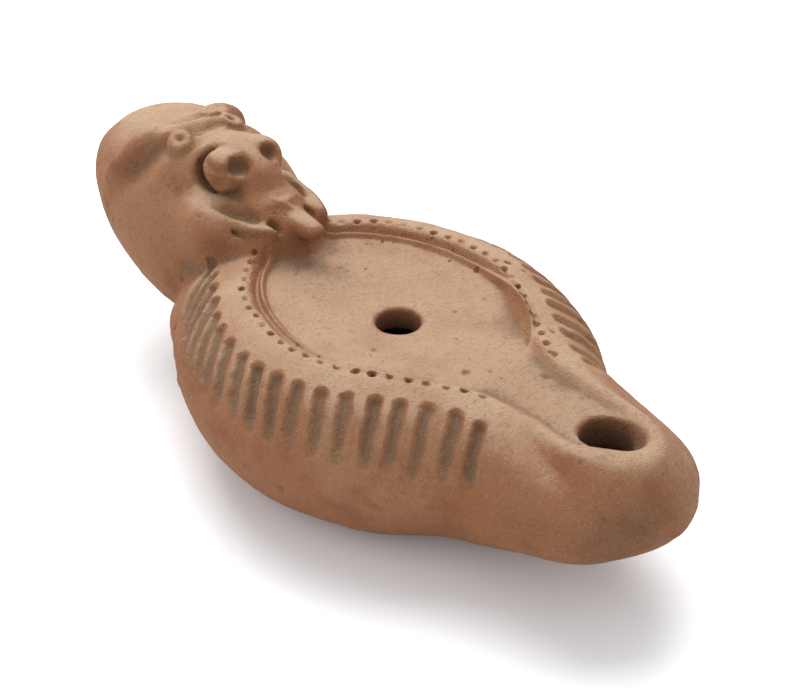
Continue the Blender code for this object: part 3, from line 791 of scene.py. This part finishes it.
# %% Plain material
material = bpy.data.materials.new("fired_clay")
material.use_nodes = True
mesh.materials.append(material)
print("the material is called", material.name)

# %% [markdown]
# ## Strokes on the shoulder
#
# A row of short slanting strokes runs down each shoulder. They were cut in the mould as
# ridges, so on the lamp each is a shallow trough with soft walls. The tree lays a net of
# lines between two guides, drops it on the clay, keeps only the lines that run downhill, and
# pushes the clay in wherever it is near one.

# %% Guides along the shoulder
STROKES = 18
STROKE_TOPS = ((13.3, 24.6, 27.5), (20.0, 15.5, 27.8), (25.0, 7.0, 27.5), (27.3, -5.1, 27.8),
               (24.8, -16.8, 27.7), (18.7, -27.4, 28.2), (13.6, -35.6, 28.2), (12.4, -40.8, 28.0))
STROKE_BOTTOMS = ((23.1, 19.9, 23.0), (29.4, 10.2, 21.5), (32.6, -2.6, 22.0), (32.1, -13.4, 21.8),
                  (27.0, -26.8, 21.6), (20.4, -37.0, 21.7), (17.1, -43.5, 21.4))
print("the strokes run between guides through", len(STROKE_TOPS), "and", len(STROKE_BOTTOMS), "places")

# %% The stroke tree: a net of lines laid on the shoulder
LINKS = 13
tree, net, given = geometry_tree("pressed_strokes", (
    ("Top", "Object"), ("Bottom", "Object"), ("Count", "Int"), ("Width", "Float"), ("Depth", "Float"),
    ("Jitter", "Float"), ("Wander", "Float"), ("Seed", "Int")))
lattice = net.wire("GeometryNodeMeshGrid", Vertices_X=given["Count"], Vertices_Y=LINKS)
index = net.wire("GeometryNodeInputIndex")
number = net.math("FLOOR", (index + 0.5) / LINKS)
step_down = (index - number * LINKS) / (LINKS - 1)
wobble = net.random(-1.0, 1.0, ID=number, Seed=given["Seed"])
factor = (number + wobble * given["Jitter"]) / (given["Count"] - 1)
ends = []
for label in ("Top", "Bottom"):
    line = net.wire("GeometryNodeObjectInfo", Object=given[label], out=4)
    sample = net.node("GeometryNodeSampleCurve", {"mode": "FACTOR", "use_all_curves": True}, Curves=line,
                      Factor=factor)
    ends.append(Wire(net, sample.outputs["Position"]))
mixed = net.node("ShaderNodeMix", {"data_type": "VECTOR"})
for slot, value in ((0, step_down), (4, ends[0]), (5, ends[1])):
    net.tree.links.new(value.socket, mixed.inputs[slot])
landed = net.node("GeometryNodeProximity", {"target_element": "FACES"}, _0=given["Geometry"],
                  Sample_Position=Wire(net, mixed.outputs[1]))
laid = net.wire("GeometryNodeSetPosition", Geometry=lattice, Position=Wire(net, landed.outputs["Position"]))
edge_ends = net.node("GeometryNodeInputMeshEdgeVertices")
strokes_of_ends = [net.math("FLOOR", (Wire(net, edge_ends.outputs[k]) + 0.5) / LINKS) for k in (0, 1)]
same_stroke = net.math("COMPARE", strokes_of_ends[0], strokes_of_ends[1], 0.5)
lines = net.wire("GeometryNodeDeleteGeometry", {"domain": "EDGE", "mode": "EDGE_FACE"}, Geometry=laid,
                 Selection=1.0 - same_stroke)
print("each stroke is a line of", LINKS, "points")

# %% The stroke tree: pressing the clay in along the lines
WANDER_SCALE = 330.0
WEAKEST, STRONGEST = 0.65, 1.15
TROUGH_EDGE, TROUGH_FLOOR = 1.3, 0.15  # distances in half widths of a stroke
BANK_END, BANK_TOP, BANK_START = 2.2, 1.4, 0.9
BANK_SHARE = 0.08
FADE_FROM, FADED = 0.7, 0.45  # where a stroke starts to fade, and how deep its lower end is

position = net.wire("GeometryNodeInputPosition")
unsure = net.wire("ShaderNodeTexNoise", out=1, Vector=position, Scale=WANDER_SCALE, Detail=3.0)
unsure = net.vector("SCALE", net.vector("SUBTRACT", unsure, _1=(0.5, 0.5, 0.5)), Scale=given["Wander"])
wandering = net.vector("ADD", position, _1=unsure)
nearest = net.wire("GeometryNodeProximity", {"target_element": "EDGES"}, out=1, _0=lines,
                   Sample_Position=wandering)
which = net.wire("GeometryNodeSampleNearest", Geometry=lines, Sample_Position=wandering)
own = net.math("FLOOR", (which + 0.5) / LINKS)
lower_end = (which - own * LINKS) / (LINKS - 1)
strength = net.random(WEAKEST, STRONGEST, ID=own, Seed=given["Seed"] + 7)
half_widths = nearest / (given["Width"] * 0.5)
trough = net.between(half_widths, TROUGH_EDGE, TROUGH_FLOOR) * strength
trough = trough * net.between(lower_end, 1.0, FADE_FROM, FADED, 1.0)
bank = net.between(half_widths, BANK_END, BANK_TOP) * net.between(half_widths, BANK_START, BANK_TOP)
marked = net.wire("GeometryNodeStoreNamedAttribute", {"data_type": "FLOAT", "domain": "POINT"},
                  Geometry=given["Geometry"], Name="stroke", Value=trough)
push = (bank * BANK_SHARE - trough) * given["Depth"]
shift = net.vector("SCALE", net.wire("GeometryNodeInputNormal"), Scale=push)
end_tree(net, net.wire("GeometryNodeSetPosition", Geometry=marked, Offset=shift), material)

# %% Strokes on both shoulders
STROKE_WIDTH = 2.3
STROKE_DEPTH = 0.95
STROKE_JITTER = 0.1
STROKE_WANDER = 1.1
STROKE_SEED = 11
for side in (1, -1):
    guides = [guide(name, smooth_curve(places) * (side, 1, 1)) for name, places in
              (("stroke_tops", STROKE_TOPS), ("stroke_bottoms", STROKE_BOTTOMS))]
    apply_tree(lamp, tree, {"Top": guides[0], "Bottom": guides[1], "Count": STROKES,
                            "Width": STROKE_WIDTH * MM, "Depth": STROKE_DEPTH * MM, "Jitter": STROKE_JITTER,
                            "Wander": STROKE_WANDER * MM, "Seed": STROKE_SEED + side})
    for used in guides:
        bpy.data.objects.remove(used)
print(STROKES, "strokes are pressed into each shoulder")

# %% [markdown]
# ## Dots along the rim
#
# A row of small round dots follows the rim on each side. Each was a pin in the mould. The
# tree walks along the rim, drops a point at every pitch and pushes the clay in around it. On
# the real lamp some are worn nearly flat, so each gets its own strength.

# %% The dot tree
FAINTEST, CLEAREST = 0.45, 1.1
PIT_EDGE, PIT_FLOOR = 1.2, 0.2  # distances in radii of a dot
LIP_END, LIP_TOP, LIP_START = 2.1, 1.3, 0.95
LIP_SHARE = 0.06

tree, net, given = geometry_tree("pressed_dots", (
    ("Guide", "Object"), ("Pitch", "Float"), ("Radius", "Float"), ("Depth", "Float"), ("Jitter", "Float"),
    ("Seed", "Int")))
line = net.wire("GeometryNodeObjectInfo", Object=given["Guide"], out=4)
walked = net.wire("GeometryNodeResampleCurve", {"mode": "LENGTH"}, Curve=line, Length=given["Pitch"])
spots = net.wire("GeometryNodeCurveToPoints", {"mode": "EVALUATED"}, Curve=walked)
wobble = net.random((-1, -1, -1), (1, 1, 1), "FLOAT_VECTOR", Seed=given["Seed"])
nudge = net.vector("SCALE", wobble, Scale=given["Jitter"])
spots = net.wire("GeometryNodeSetPosition", Geometry=spots, Offset=nudge)
landed = net.wire("GeometryNodeProximity", {"target_element": "FACES"}, _0=given["Geometry"])
spots = net.wire("GeometryNodeSetPosition", Geometry=spots, Position=landed)
nearest = net.wire("GeometryNodeProximity", {"target_element": "POINTS"}, out=1, _0=spots)
which = net.wire("GeometryNodeSampleNearest", Geometry=spots)
strength = net.random(FAINTEST, CLEAREST, ID=which, Seed=given["Seed"] + 3)
radii_away = nearest / given["Radius"]
pit = net.between(radii_away, PIT_EDGE, PIT_FLOOR) * strength
lip = net.between(radii_away, LIP_END, LIP_TOP) * net.between(radii_away, LIP_START, LIP_TOP) * strength
marked = net.wire("GeometryNodeStoreNamedAttribute", {"data_type": "FLOAT", "domain": "POINT"},
                  Geometry=given["Geometry"], Name="dot", Value=pit)
push = (lip * LIP_SHARE - pit) * given["Depth"]
shift = net.vector("SCALE", net.wire("GeometryNodeInputNormal"), Scale=push)
end_tree(net, net.wire("GeometryNodeSetPosition", Geometry=marked, Offset=shift), material)

# %% Dots on both sides of the rim
DOT_PITCH = 2.85
DOTS_END_Y = -37.0
DOT_RADIUS = 0.66
DOT_DEPTH = 0.72
DOT_JITTER = 0.16
DOT_SEED = 5
GUIDE_DROP = 0.25
crest = smooth_curve(RIM_PLAN[1:])
crest = crest[crest[:, 1] > DOTS_END_Y]
crest = np.column_stack((crest, crown_z(crest[:, 1]) - GUIDE_DROP))
for side in (1, -1):
    used = guide("dot_line", crest * (side, 1, 1))
    apply_tree(lamp, tree, {"Guide": used, "Pitch": DOT_PITCH * MM, "Radius": DOT_RADIUS * MM,
                            "Depth": DOT_DEPTH * MM, "Jitter": DOT_JITTER * MM, "Seed": DOT_SEED + side})
    bpy.data.objects.remove(used)
print("dots are pressed along the rim,", DOT_PITCH, "mm apart")

# %% [markdown]
# ## Wear
#
# The clay was never glass-smooth: the mould was gritty, the surface was handled, and salts
# and roots pitted it in the ground. Where the two halves were joined, a faint seam still runs
# round the body, smoothed away in places. Broad swells, dents and fine grain are noise along
# the skin, and the pits are scattered points of many sizes.

# %% The wear tree: seam, swells and grain
SWELL_SCALE, DENT_SCALE, GRAIN_SCALE = 70.0, 260.0, 900.0
SEAM_AT = 17.5
SEAM_WANDER, SEAM_WANDER_SCALE = 6.0, 60.0
SEAM_HALF_WIDTH, SEAM_CREST = 0.8, 0.1
SEAM_GAP_SCALE = 110.0
SEAM_GAPS = (-0.08, 0.1)  # noise below the first leaves no seam, above the second all of it

tree, net, given = geometry_tree("worn_clay", (
    ("Seam", "Float"), ("Swell", "Float"), ("Dents", "Float"), ("Grain", "Float"),
    ("Pit Density", "Float"), ("Pit Radius", "Float"), ("Pit Depth", "Float"), ("Seed", "Int")))
position = net.wire("GeometryNodeInputPosition")


def noise(scale, detail):
    """Noise over the surface between about -0.5 and 0.5."""
    return net.wire("ShaderNodeTexNoise", Vector=position, Scale=scale, Detail=detail) - 0.5


height = net.wire("ShaderNodeSeparateXYZ", out=2, Vector=position)
off_seam = net.math("ABSOLUTE", height - SEAM_AT * MM + noise(SEAM_WANDER_SCALE, 2.0) * (SEAM_WANDER * MM))
seam = net.between(off_seam, SEAM_HALF_WIDTH * MM, SEAM_CREST * MM)
seam = seam * net.between(noise(SEAM_GAP_SCALE, 1.0), *SEAM_GAPS)
relief = (seam * given["Seam"] + noise(SWELL_SCALE, 2.0) * given["Swell"]
          + noise(DENT_SCALE, 3.0) * given["Dents"] + noise(GRAIN_SCALE, 2.0) * given["Grain"])
print("the seam lies", SEAM_AT, "mm above the floor")

# %% The wear tree: pits
SMALLEST_PIT = 0.3
FEW_LARGE = 5.0  # a high power leaves most pits small
RAGGED, RAGGED_SCALE = 1.6, 1100.0
PIT_WALL = (1.0, 0.3)  # distances in radii of a pit, from its edge to its floor
scattered = net.node("GeometryNodeDistributePointsOnFaces", Mesh=given["Geometry"],
                     Density=given["Pit Density"], Seed=given["Seed"])
spots = Wire(net, scattered.outputs["Points"])
nearest = net.wire("GeometryNodeProximity", {"target_element": "POINTS"}, out=1, _0=spots)
which = net.wire("GeometryNodeSampleNearest", Geometry=spots)
size = net.random(0.0, 1.0, ID=which, Seed=given["Seed"] + 1) ** FEW_LARGE * (1 - SMALLEST_PIT) + SMALLEST_PIT
ragged = nearest / (given["Pit Radius"] * size) + noise(RAGGED_SCALE, 2.0) * RAGGED
pit = net.between(ragged, *PIT_WALL)
marked = net.wire("GeometryNodeStoreNamedAttribute", {"data_type": "FLOAT", "domain": "POINT"},
                  Geometry=given["Geometry"], Name="pit", Value=pit)
push = relief - pit * size * given["Pit Depth"]
shift = net.vector("SCALE", net.wire("GeometryNodeInputNormal"), Scale=push)
end_tree(net, net.wire("GeometryNodeSetPosition", Geometry=marked, Offset=shift), material)

# %% Wear on the whole lamp
SEAM_RISE = 0.25
SWELL = 0.8
DENTS = 0.24
GRAIN = 0.05
PITS_PER_SQUARE_METRE = 1.6e4
PIT_RADIUS = 0.85
PIT_DEPTH = 0.45
WEAR_SEED = 4
apply_tree(lamp, tree, {"Seam": SEAM_RISE * MM, "Swell": SWELL * MM, "Dents": DENTS * MM, "Grain": GRAIN * MM,
                        "Pit Density": PITS_PER_SQUARE_METRE, "Pit Radius": PIT_RADIUS * MM,
                        "Pit Depth": PIT_DEPTH * MM, "Seed": WEAR_SEED})
print("the worn skin has", len(lamp.data.vertices), "points")

# %% [markdown]
# ## Fewer triangles
#
# The fine skin is needed only where there is detail. The Decimate modifier takes points away
# where the skin is flattest. The wear has also pushed the flat base up and down by a hair, and
# what went below the floor is set level with it, because the lamp rests there.

# %% Thin the skin and level the base
TRIANGLES = 190000
count = sum(len(face.vertices) - 2 for face in lamp.data.polygons)
thinner = lamp.modifiers.new("thinner", "DECIMATE")
thinner.ratio = min(1.0, TRIANGLES / count)
thinner.use_collapse_triangulate = True
keep_result(lamp)
lamp.data.shade_smooth()
co = np.empty(len(lamp.data.vertices) * 3)
lamp.data.vertices.foreach_get("co", co)
co[2::3] = np.clip(co[2::3], 0, None)
lamp.data.vertices.foreach_set("co", co)
lamp.data.update()
print("triangles:", count, "thinned to", len(lamp.data.polygons))

# %% [markdown]
# ## What the clay's colour depends on
#
# Where a lamp is bare, fired clay shows orange-pink. Its upper faces carry a film of beige
# dust, its hollows are darkened grey-brown, partly as earth and partly as painted shade, and
# its rubbed edges are paler, partly from wear and partly as a painted highlight. These depend
# on the shape, so they are measured on the skin and stored with it: how far each place faces
# up, how hollow it is at three scales, and whether it lies inside.

# %% Measure the skin
data = lamp.data
count = len(data.vertices)
co = np.empty(count * 3)
data.vertices.foreach_get("co", co)
co = co.reshape(-1, 3) / MM
normals = np.empty(count * 3)
data.vertices.foreach_get("normal", normals)
normals = normals.reshape(-1, 3)
pairs = np.empty(len(data.edges) * 2, int)
data.edges.foreach_get("vertices", pairs)
first, second = pairs.reshape(-1, 2).T
both = np.concatenate((first, second)), np.concatenate((second, first))
links = np.bincount(both[0], minlength=count)


def spread(values, rounds):
    """Values evened out over neighbouring places, a number of times."""
    for _ in range(rounds):
        values = np.column_stack([np.bincount(both[0], values[both[1], k], count) / links
                                  for k in range(values.shape[1])])
    return values


FINE_ROUNDS, BROAD_ROUNDS, WIDE_ROUNDS = 3, 20, 90
CREASE = (0.01, 0.12)
HOLLOW = (0.03, 0.45)
DEEP = (0.2, 1.8)
RUBBED_AND_HIGHLIT = (0.02, 0.3)
UPWARD = (0.42, 1.04)
INSIDE_DEPTH = (0.5, 3.0)

fine_skin = spread(co, FINE_ROUNDS)
broad_skin = spread(fine_skin, BROAD_ROUNDS)
wide_skin = spread(broad_skin, WIDE_ROUNDS)
fine_dip, dip, wide_dip = (np.sum((skin - co) * normals, 1) for skin in (fine_skin, broad_skin, wide_skin))
spot = np.clip(np.round((co - LOW) / STEP).astype(int), 0, np.array(body.shape) - 1)
measured = {"crease": ease(fine_dip, *CREASE), "hollow": ease(dip, *HOLLOW), "deep": ease(wide_dip, *DEEP),
            "rubbed_and_highlit": ease(-dip, *RUBBED_AND_HIGHLIT), "upward": ease(normals[:, 2], *UPWARD),
            "inside": ease(-uncut[spot[:, 0], spot[:, 1], spot[:, 2]], *INSIDE_DEPTH)}
for name, values in measured.items():
    kept = data.attributes.new(name, "FLOAT", "POINT")
    kept.data.foreach_set("value", spread(values[:, None], 1)[:, 0])
    print(name, "covers", round(float(values.mean()), 3), "of the skin")

# %% [markdown]
# ## Fired clay
#
# The base is orange-pink clay with faint paler and redder clouds. Beige dust lies on it where
# it faces up, and the rubbed ridges between are paler still, partly as a painted highlight.
# Earth and painted shade darken the creases, strokes and dots, soot greys one flank of the
# nozzle, and the inside is painted nearly black as shade. Each of these is one layer over the
# ones before, with a share that noise breaks up. The fine grain is bump, because it is
# smaller than the triangles.

# %% What the colours are mixed from
net = Net(material.node_tree)
shader = material.node_tree.nodes["Principled BSDF"]
coords = net.wire("ShaderNodeTexCoord", out=3)
tag = {name: net.wire("ShaderNodeAttribute", {"attribute_name": name}, out=2)
       for name in (*measured, "stroke", "dot", "pit")}
place = net.node("ShaderNodeSeparateXYZ", Vector=coords)
along_x, along_y, up_z = (Wire(net, place.outputs[k]) for k in range(3))


def cloud(scale, detail, rough=0.55):
    """Noise between 0 and 1 that is fixed to the object."""
    return net.wire("ShaderNodeTexNoise", Vector=coords, Scale=scale, Detail=detail, Roughness=rough)


def zone(where, start, end):
    """A share that eases from 0 to 1 between two places in millimetres."""
    return net.between(where, start * MM, end * MM)


def blend(share, under, over):
    """One colour over another."""
    made = net.node("ShaderNodeMix", {"data_type": "RGBA", "clamp_factor": True})
    for slot, value in ((0, share), (6, under), (7, over)):
        if isinstance(value, Wire):
            net.tree.links.new(value.socket, made.inputs[slot])
        else:
            made.inputs[slot].default_value = value if slot == 0 else (*value, 1.0)
    return Wire(net, made.outputs[2])


broad = cloud(38.0, 4.0)
patchy = cloud(120.0, 4.0, 0.6)
gritty = cloud(1200.0, 3.0, 0.65)
speckled = cloud(3600.0, 2.0, 0.6)
print("the colours follow", len(tag), "measures of the skin")

# %% Bare clay, dust, and rubbed ridges partly painted as highlight
CLAY_ORANGE = (0.250, 0.098, 0.040)
CLAY_RED = (0.205, 0.070, 0.028)
CLAY_PALE = (0.285, 0.135, 0.064)
DUST = (0.43, 0.282, 0.180)
SALT_AND_HIGHLIGHT = (0.44, 0.31, 0.21)
RED_SHARE, DUST_SHARE, RUBBED_AND_HIGHLIGHT_SHARE = 0.75, 0.9, 0.3

colour = blend(net.between(broad, 0.42, 0.62), CLAY_ORANGE, CLAY_PALE)
colour = blend(net.between(patchy, 0.48, 0.70) * RED_SHARE, colour, CLAY_RED)
dust = net.between(tag["upward"] + (patchy - 0.5) * 0.8 + (gritty - 0.5) * 0.6, 0.50, 1.10)
colour = blend(dust * DUST_SHARE, colour, DUST)
# The rubbed ridges that face up are painted paler: partly worn clay, partly a painted highlight.
rubbed_ridges_and_highlight = tag["rubbed_and_highlit"] * tag["upward"] * net.between(patchy, 0.3, 0.6)
colour = blend(rubbed_ridges_and_highlight * RUBBED_AND_HIGHLIGHT_SHARE, colour, SALT_AND_HIGHLIGHT)
print("dust covers", DUST_SHARE, "of the clay where it lies thickest")

# %% Soot on the nozzle's flank
SOOT = (0.090, 0.054, 0.034)
SOOT_X = (6.0, -10.0)
SOOT_Y = (-40.0, -62.0)
SOOT_Z = (28.0, 21.0)
SOOT_SHARE = 0.62

flank = zone(along_x, *SOOT_X) * zone(along_y, *SOOT_Y) * zone(up_z, *SOOT_Z)
smoky = net.between(broad + (patchy - 0.5) * 0.5, 0.30, 0.62)
colour = blend(flank * smoky * SOOT_SHARE, colour, SOOT)
print("soot starts", -SOOT_Y[0], "mm towards the nozzle")

# %% Earth and painted shade in the strokes, dots, pits and hollows
EARTH_AND_SHADE = (0.150, 0.088, 0.050)
EARTH_AND_SHADE_IN = {"hollow": 0.45, "crease": 0.35, "deep": 0.25, "stroke": 0.85, "dot": 0.8, "pit": 0.7}
BAND_Z = ((19.5, 23.0), (28.5, 26.0))  # the shoulder between the strokes, from below and from above
BAND_Y = ((30.0, 18.0), (-52.0, -44.0))
BAND_DARKENING = 0.22
CHANNEL_X = (10.0, 5.0)
CHANNEL_Y = ((-22.0, -36.0), (-66.0, -58.0))
CHANNEL_Z = (26.0, 28.0)
CHANNEL_DARKENING = 0.35
EARTH_AND_SHADE_SHARE = 0.8

# The hollows, creases, strokes, dots and pits are darkened partly by earth and partly as painted shade; the
# shoulder band and the channel are just made darker.
earth_and_shade = sum(tag[name] * share for name, share in EARTH_AND_SHADE_IN.items())
band = zone(up_z, *BAND_Z[0]) * zone(up_z, *BAND_Z[1]) * zone(along_y, *BAND_Y[0]) * zone(along_y, *BAND_Y[1])
channel = zone(net.math("ABSOLUTE", along_x), *CHANNEL_X) * zone(up_z, *CHANNEL_Z)
channel = channel * zone(along_y, *CHANNEL_Y[0]) * zone(along_y, *CHANNEL_Y[1])
earth_and_shade = earth_and_shade + band * BAND_DARKENING + channel * CHANNEL_DARKENING
colour = blend(net.between(earth_and_shade * (0.5 + patchy + (gritty - 0.5)), 0.1, 0.9) * EARTH_AND_SHADE_SHARE, colour, EARTH_AND_SHADE)
print("earth gathers in", ", ".join(EARTH_AND_SHADE_IN))

# %% Grit, the inside painted dark as shade, roughness and grain
INSIDE_SHADE = (0.120, 0.064, 0.034)
DARK_GRIT_SHARE, DARK_SPECK_SHARE, PALE_SPECK_SHARE, INSIDE_SHADE_SHARE = 0.42, 0.30, 0.32, 0.9
SHINE = 0.28
SMOOTHEST, ROUGHEST = 0.78, 0.95
GRAIN_STRENGTH = 0.75
GRAIN_HEIGHT = 0.45

colour = blend(net.between(gritty, 0.50, 0.70) * DARK_GRIT_SHARE, colour, EARTH_AND_SHADE)
colour = blend(net.between(speckled, 0.45, 0.30) * DARK_SPECK_SHARE, colour, EARTH_AND_SHADE)
colour = blend(net.between(speckled, 0.56, 0.74) * PALE_SPECK_SHARE, colour, SALT_AND_HIGHLIGHT)
# The inside of the chamber and the holes is painted nearly black as shade.
colour = blend(tag["inside"] * INSIDE_SHADE_SHARE, colour, INSIDE_SHADE)
rough = net.between(gritty + (patchy - 0.5), 0.3, 0.8, SMOOTHEST, ROUGHEST)
grain = speckled + gritty * 0.9 + patchy * 0.8
bump = net.wire("ShaderNodeBump", Strength=GRAIN_STRENGTH, Distance=GRAIN_HEIGHT * MM, Height=grain)
for wire, slot in ((colour, "Base Color"), (rough, "Roughness"), (bump, "Normal")):
    net.tree.links.new(wire.socket, shader.inputs[slot])
shader.inputs["Specular IOR Level"].default_value = SHINE
print("the clay has", len(material.node_tree.nodes), "nodes")

# %% [markdown]
# ## Floor and light
#
# A lamp of matt clay shows its relief best in soft, nearly even light. So the room itself is
# bright, a large soft light from behind throws the shading towards the viewer, and a weak one
# opens the shadows of the head. The floor is pale paper.

# %% Floor
FLOOR_SIZE = 3.0
PAPER = (0.93, 0.93, 0.94, 1)
floor_mesh = bmesh.new()
bmesh.ops.create_grid(floor_mesh, x_segments=2, y_segments=2, size=FLOOR_SIZE)
floor_data = bpy.data.meshes.new("floor")
floor_mesh.to_mesh(floor_data)
floor_mesh.free()
floor = bpy.data.objects.new("floor", floor_data)
bpy.context.scene.collection.objects.link(floor)
paper = bpy.data.materials.new("paper")
paper.use_nodes = True
paper.node_tree.nodes["Principled BSDF"].inputs["Base Color"].default_value = PAPER
floor_data.materials.append(paper)
print("the floor is", 2 * FLOOR_SIZE, "m wide")

# %% Light
ROOM = (0.97, 0.98, 1.0, 1)
ROOM_STRENGTH = 0.84
KEY_PLACE, KEY_SIZE, KEY_POWER = (0.30, 0.42, 0.85), 0.9, 12.0
FILL_PLACE, FILL_SIZE, FILL_POWER = (-0.85, 0.45, 0.40), 0.9, 3.0
LIT_PLACE = (0, 0, 0.02)

world = bpy.data.worlds.new("studio")
world.use_nodes = True
world.node_tree.nodes["Background"].inputs["Color"].default_value = ROOM
world.node_tree.nodes["Background"].inputs["Strength"].default_value = ROOM_STRENGTH
bpy.context.scene.world = world


def soft_light(name, place, aim, size, power):
    """A square softbox at a place, turned to a point."""
    data = bpy.data.lights.new(name, "AREA")
    data.shape = "SQUARE"
    data.size = size
    data.energy = power
    light = bpy.data.objects.new(name, data)
    light.location = place
    light.rotation_mode = "QUATERNION"
    light.rotation_quaternion = (Vector(aim) - Vector(place)).to_track_quat("-Z", "Y")
    bpy.context.scene.collection.objects.link(light)
    return light


soft_light("key", KEY_PLACE, LIT_PLACE, KEY_SIZE, KEY_POWER)
soft_light("fill", FILL_PLACE, LIT_PLACE, FILL_SIZE, FILL_POWER)
bpy.context.scene.view_settings.view_transform = "Standard"
print("the two soft lights give", KEY_POWER + FILL_POWER, "watts")

# %% [markdown]
# ## Camera
#
# The camera stands where the photo was taken from: between the nozzle and the near side, and
# well above the rim. The photo's middle is not where the lens pointed, so the frame is
# shifted by the difference.

# %% Camera at the photo's view
CAMERA_PLACE = (-139.24, -163.88, 165.05)
CAMERA_RIGHT = Vector((0.7356, -0.6774, 0.0)).normalized()
CAMERA_BACK = Vector((-0.5642, -0.6127, 0.5535)).normalized()
FOCAL_LENGTH = 67.5
SENSOR_WIDTH = 36.0
PHOTO_SIZE = (800.0, 695.0)
LENS_POINT = (412.974, 318.148)  # where the lens pointed, in the photo's pixels

lens = bpy.data.cameras.new("camera")
lens.lens = FOCAL_LENGTH
lens.sensor_width = SENSOR_WIDTH
lens.shift_x = (PHOTO_SIZE[0] / 2 - LENS_POINT[0]) / PHOTO_SIZE[0]
lens.shift_y = (LENS_POINT[1] - PHOTO_SIZE[1] / 2) / PHOTO_SIZE[0]
lens.clip_start, lens.clip_end = 0.01, 20.0
camera = bpy.data.objects.new("camera", lens)
camera_up = CAMERA_BACK.cross(CAMERA_RIGHT)
turned = Matrix((CAMERA_RIGHT, camera_up, CAMERA_BACK)).transposed().to_4x4()
camera.matrix_world = Matrix.Translation(Vector(CAMERA_PLACE) * MM) @ turned
bpy.context.scene.collection.objects.link(camera)
bpy.context.scene.camera = camera
print("the camera is", round(Vector(CAMERA_PLACE).length), "mm from the middle of the base")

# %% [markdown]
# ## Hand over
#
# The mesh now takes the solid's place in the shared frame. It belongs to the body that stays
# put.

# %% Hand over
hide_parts("lamp")
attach(lamp, "root")
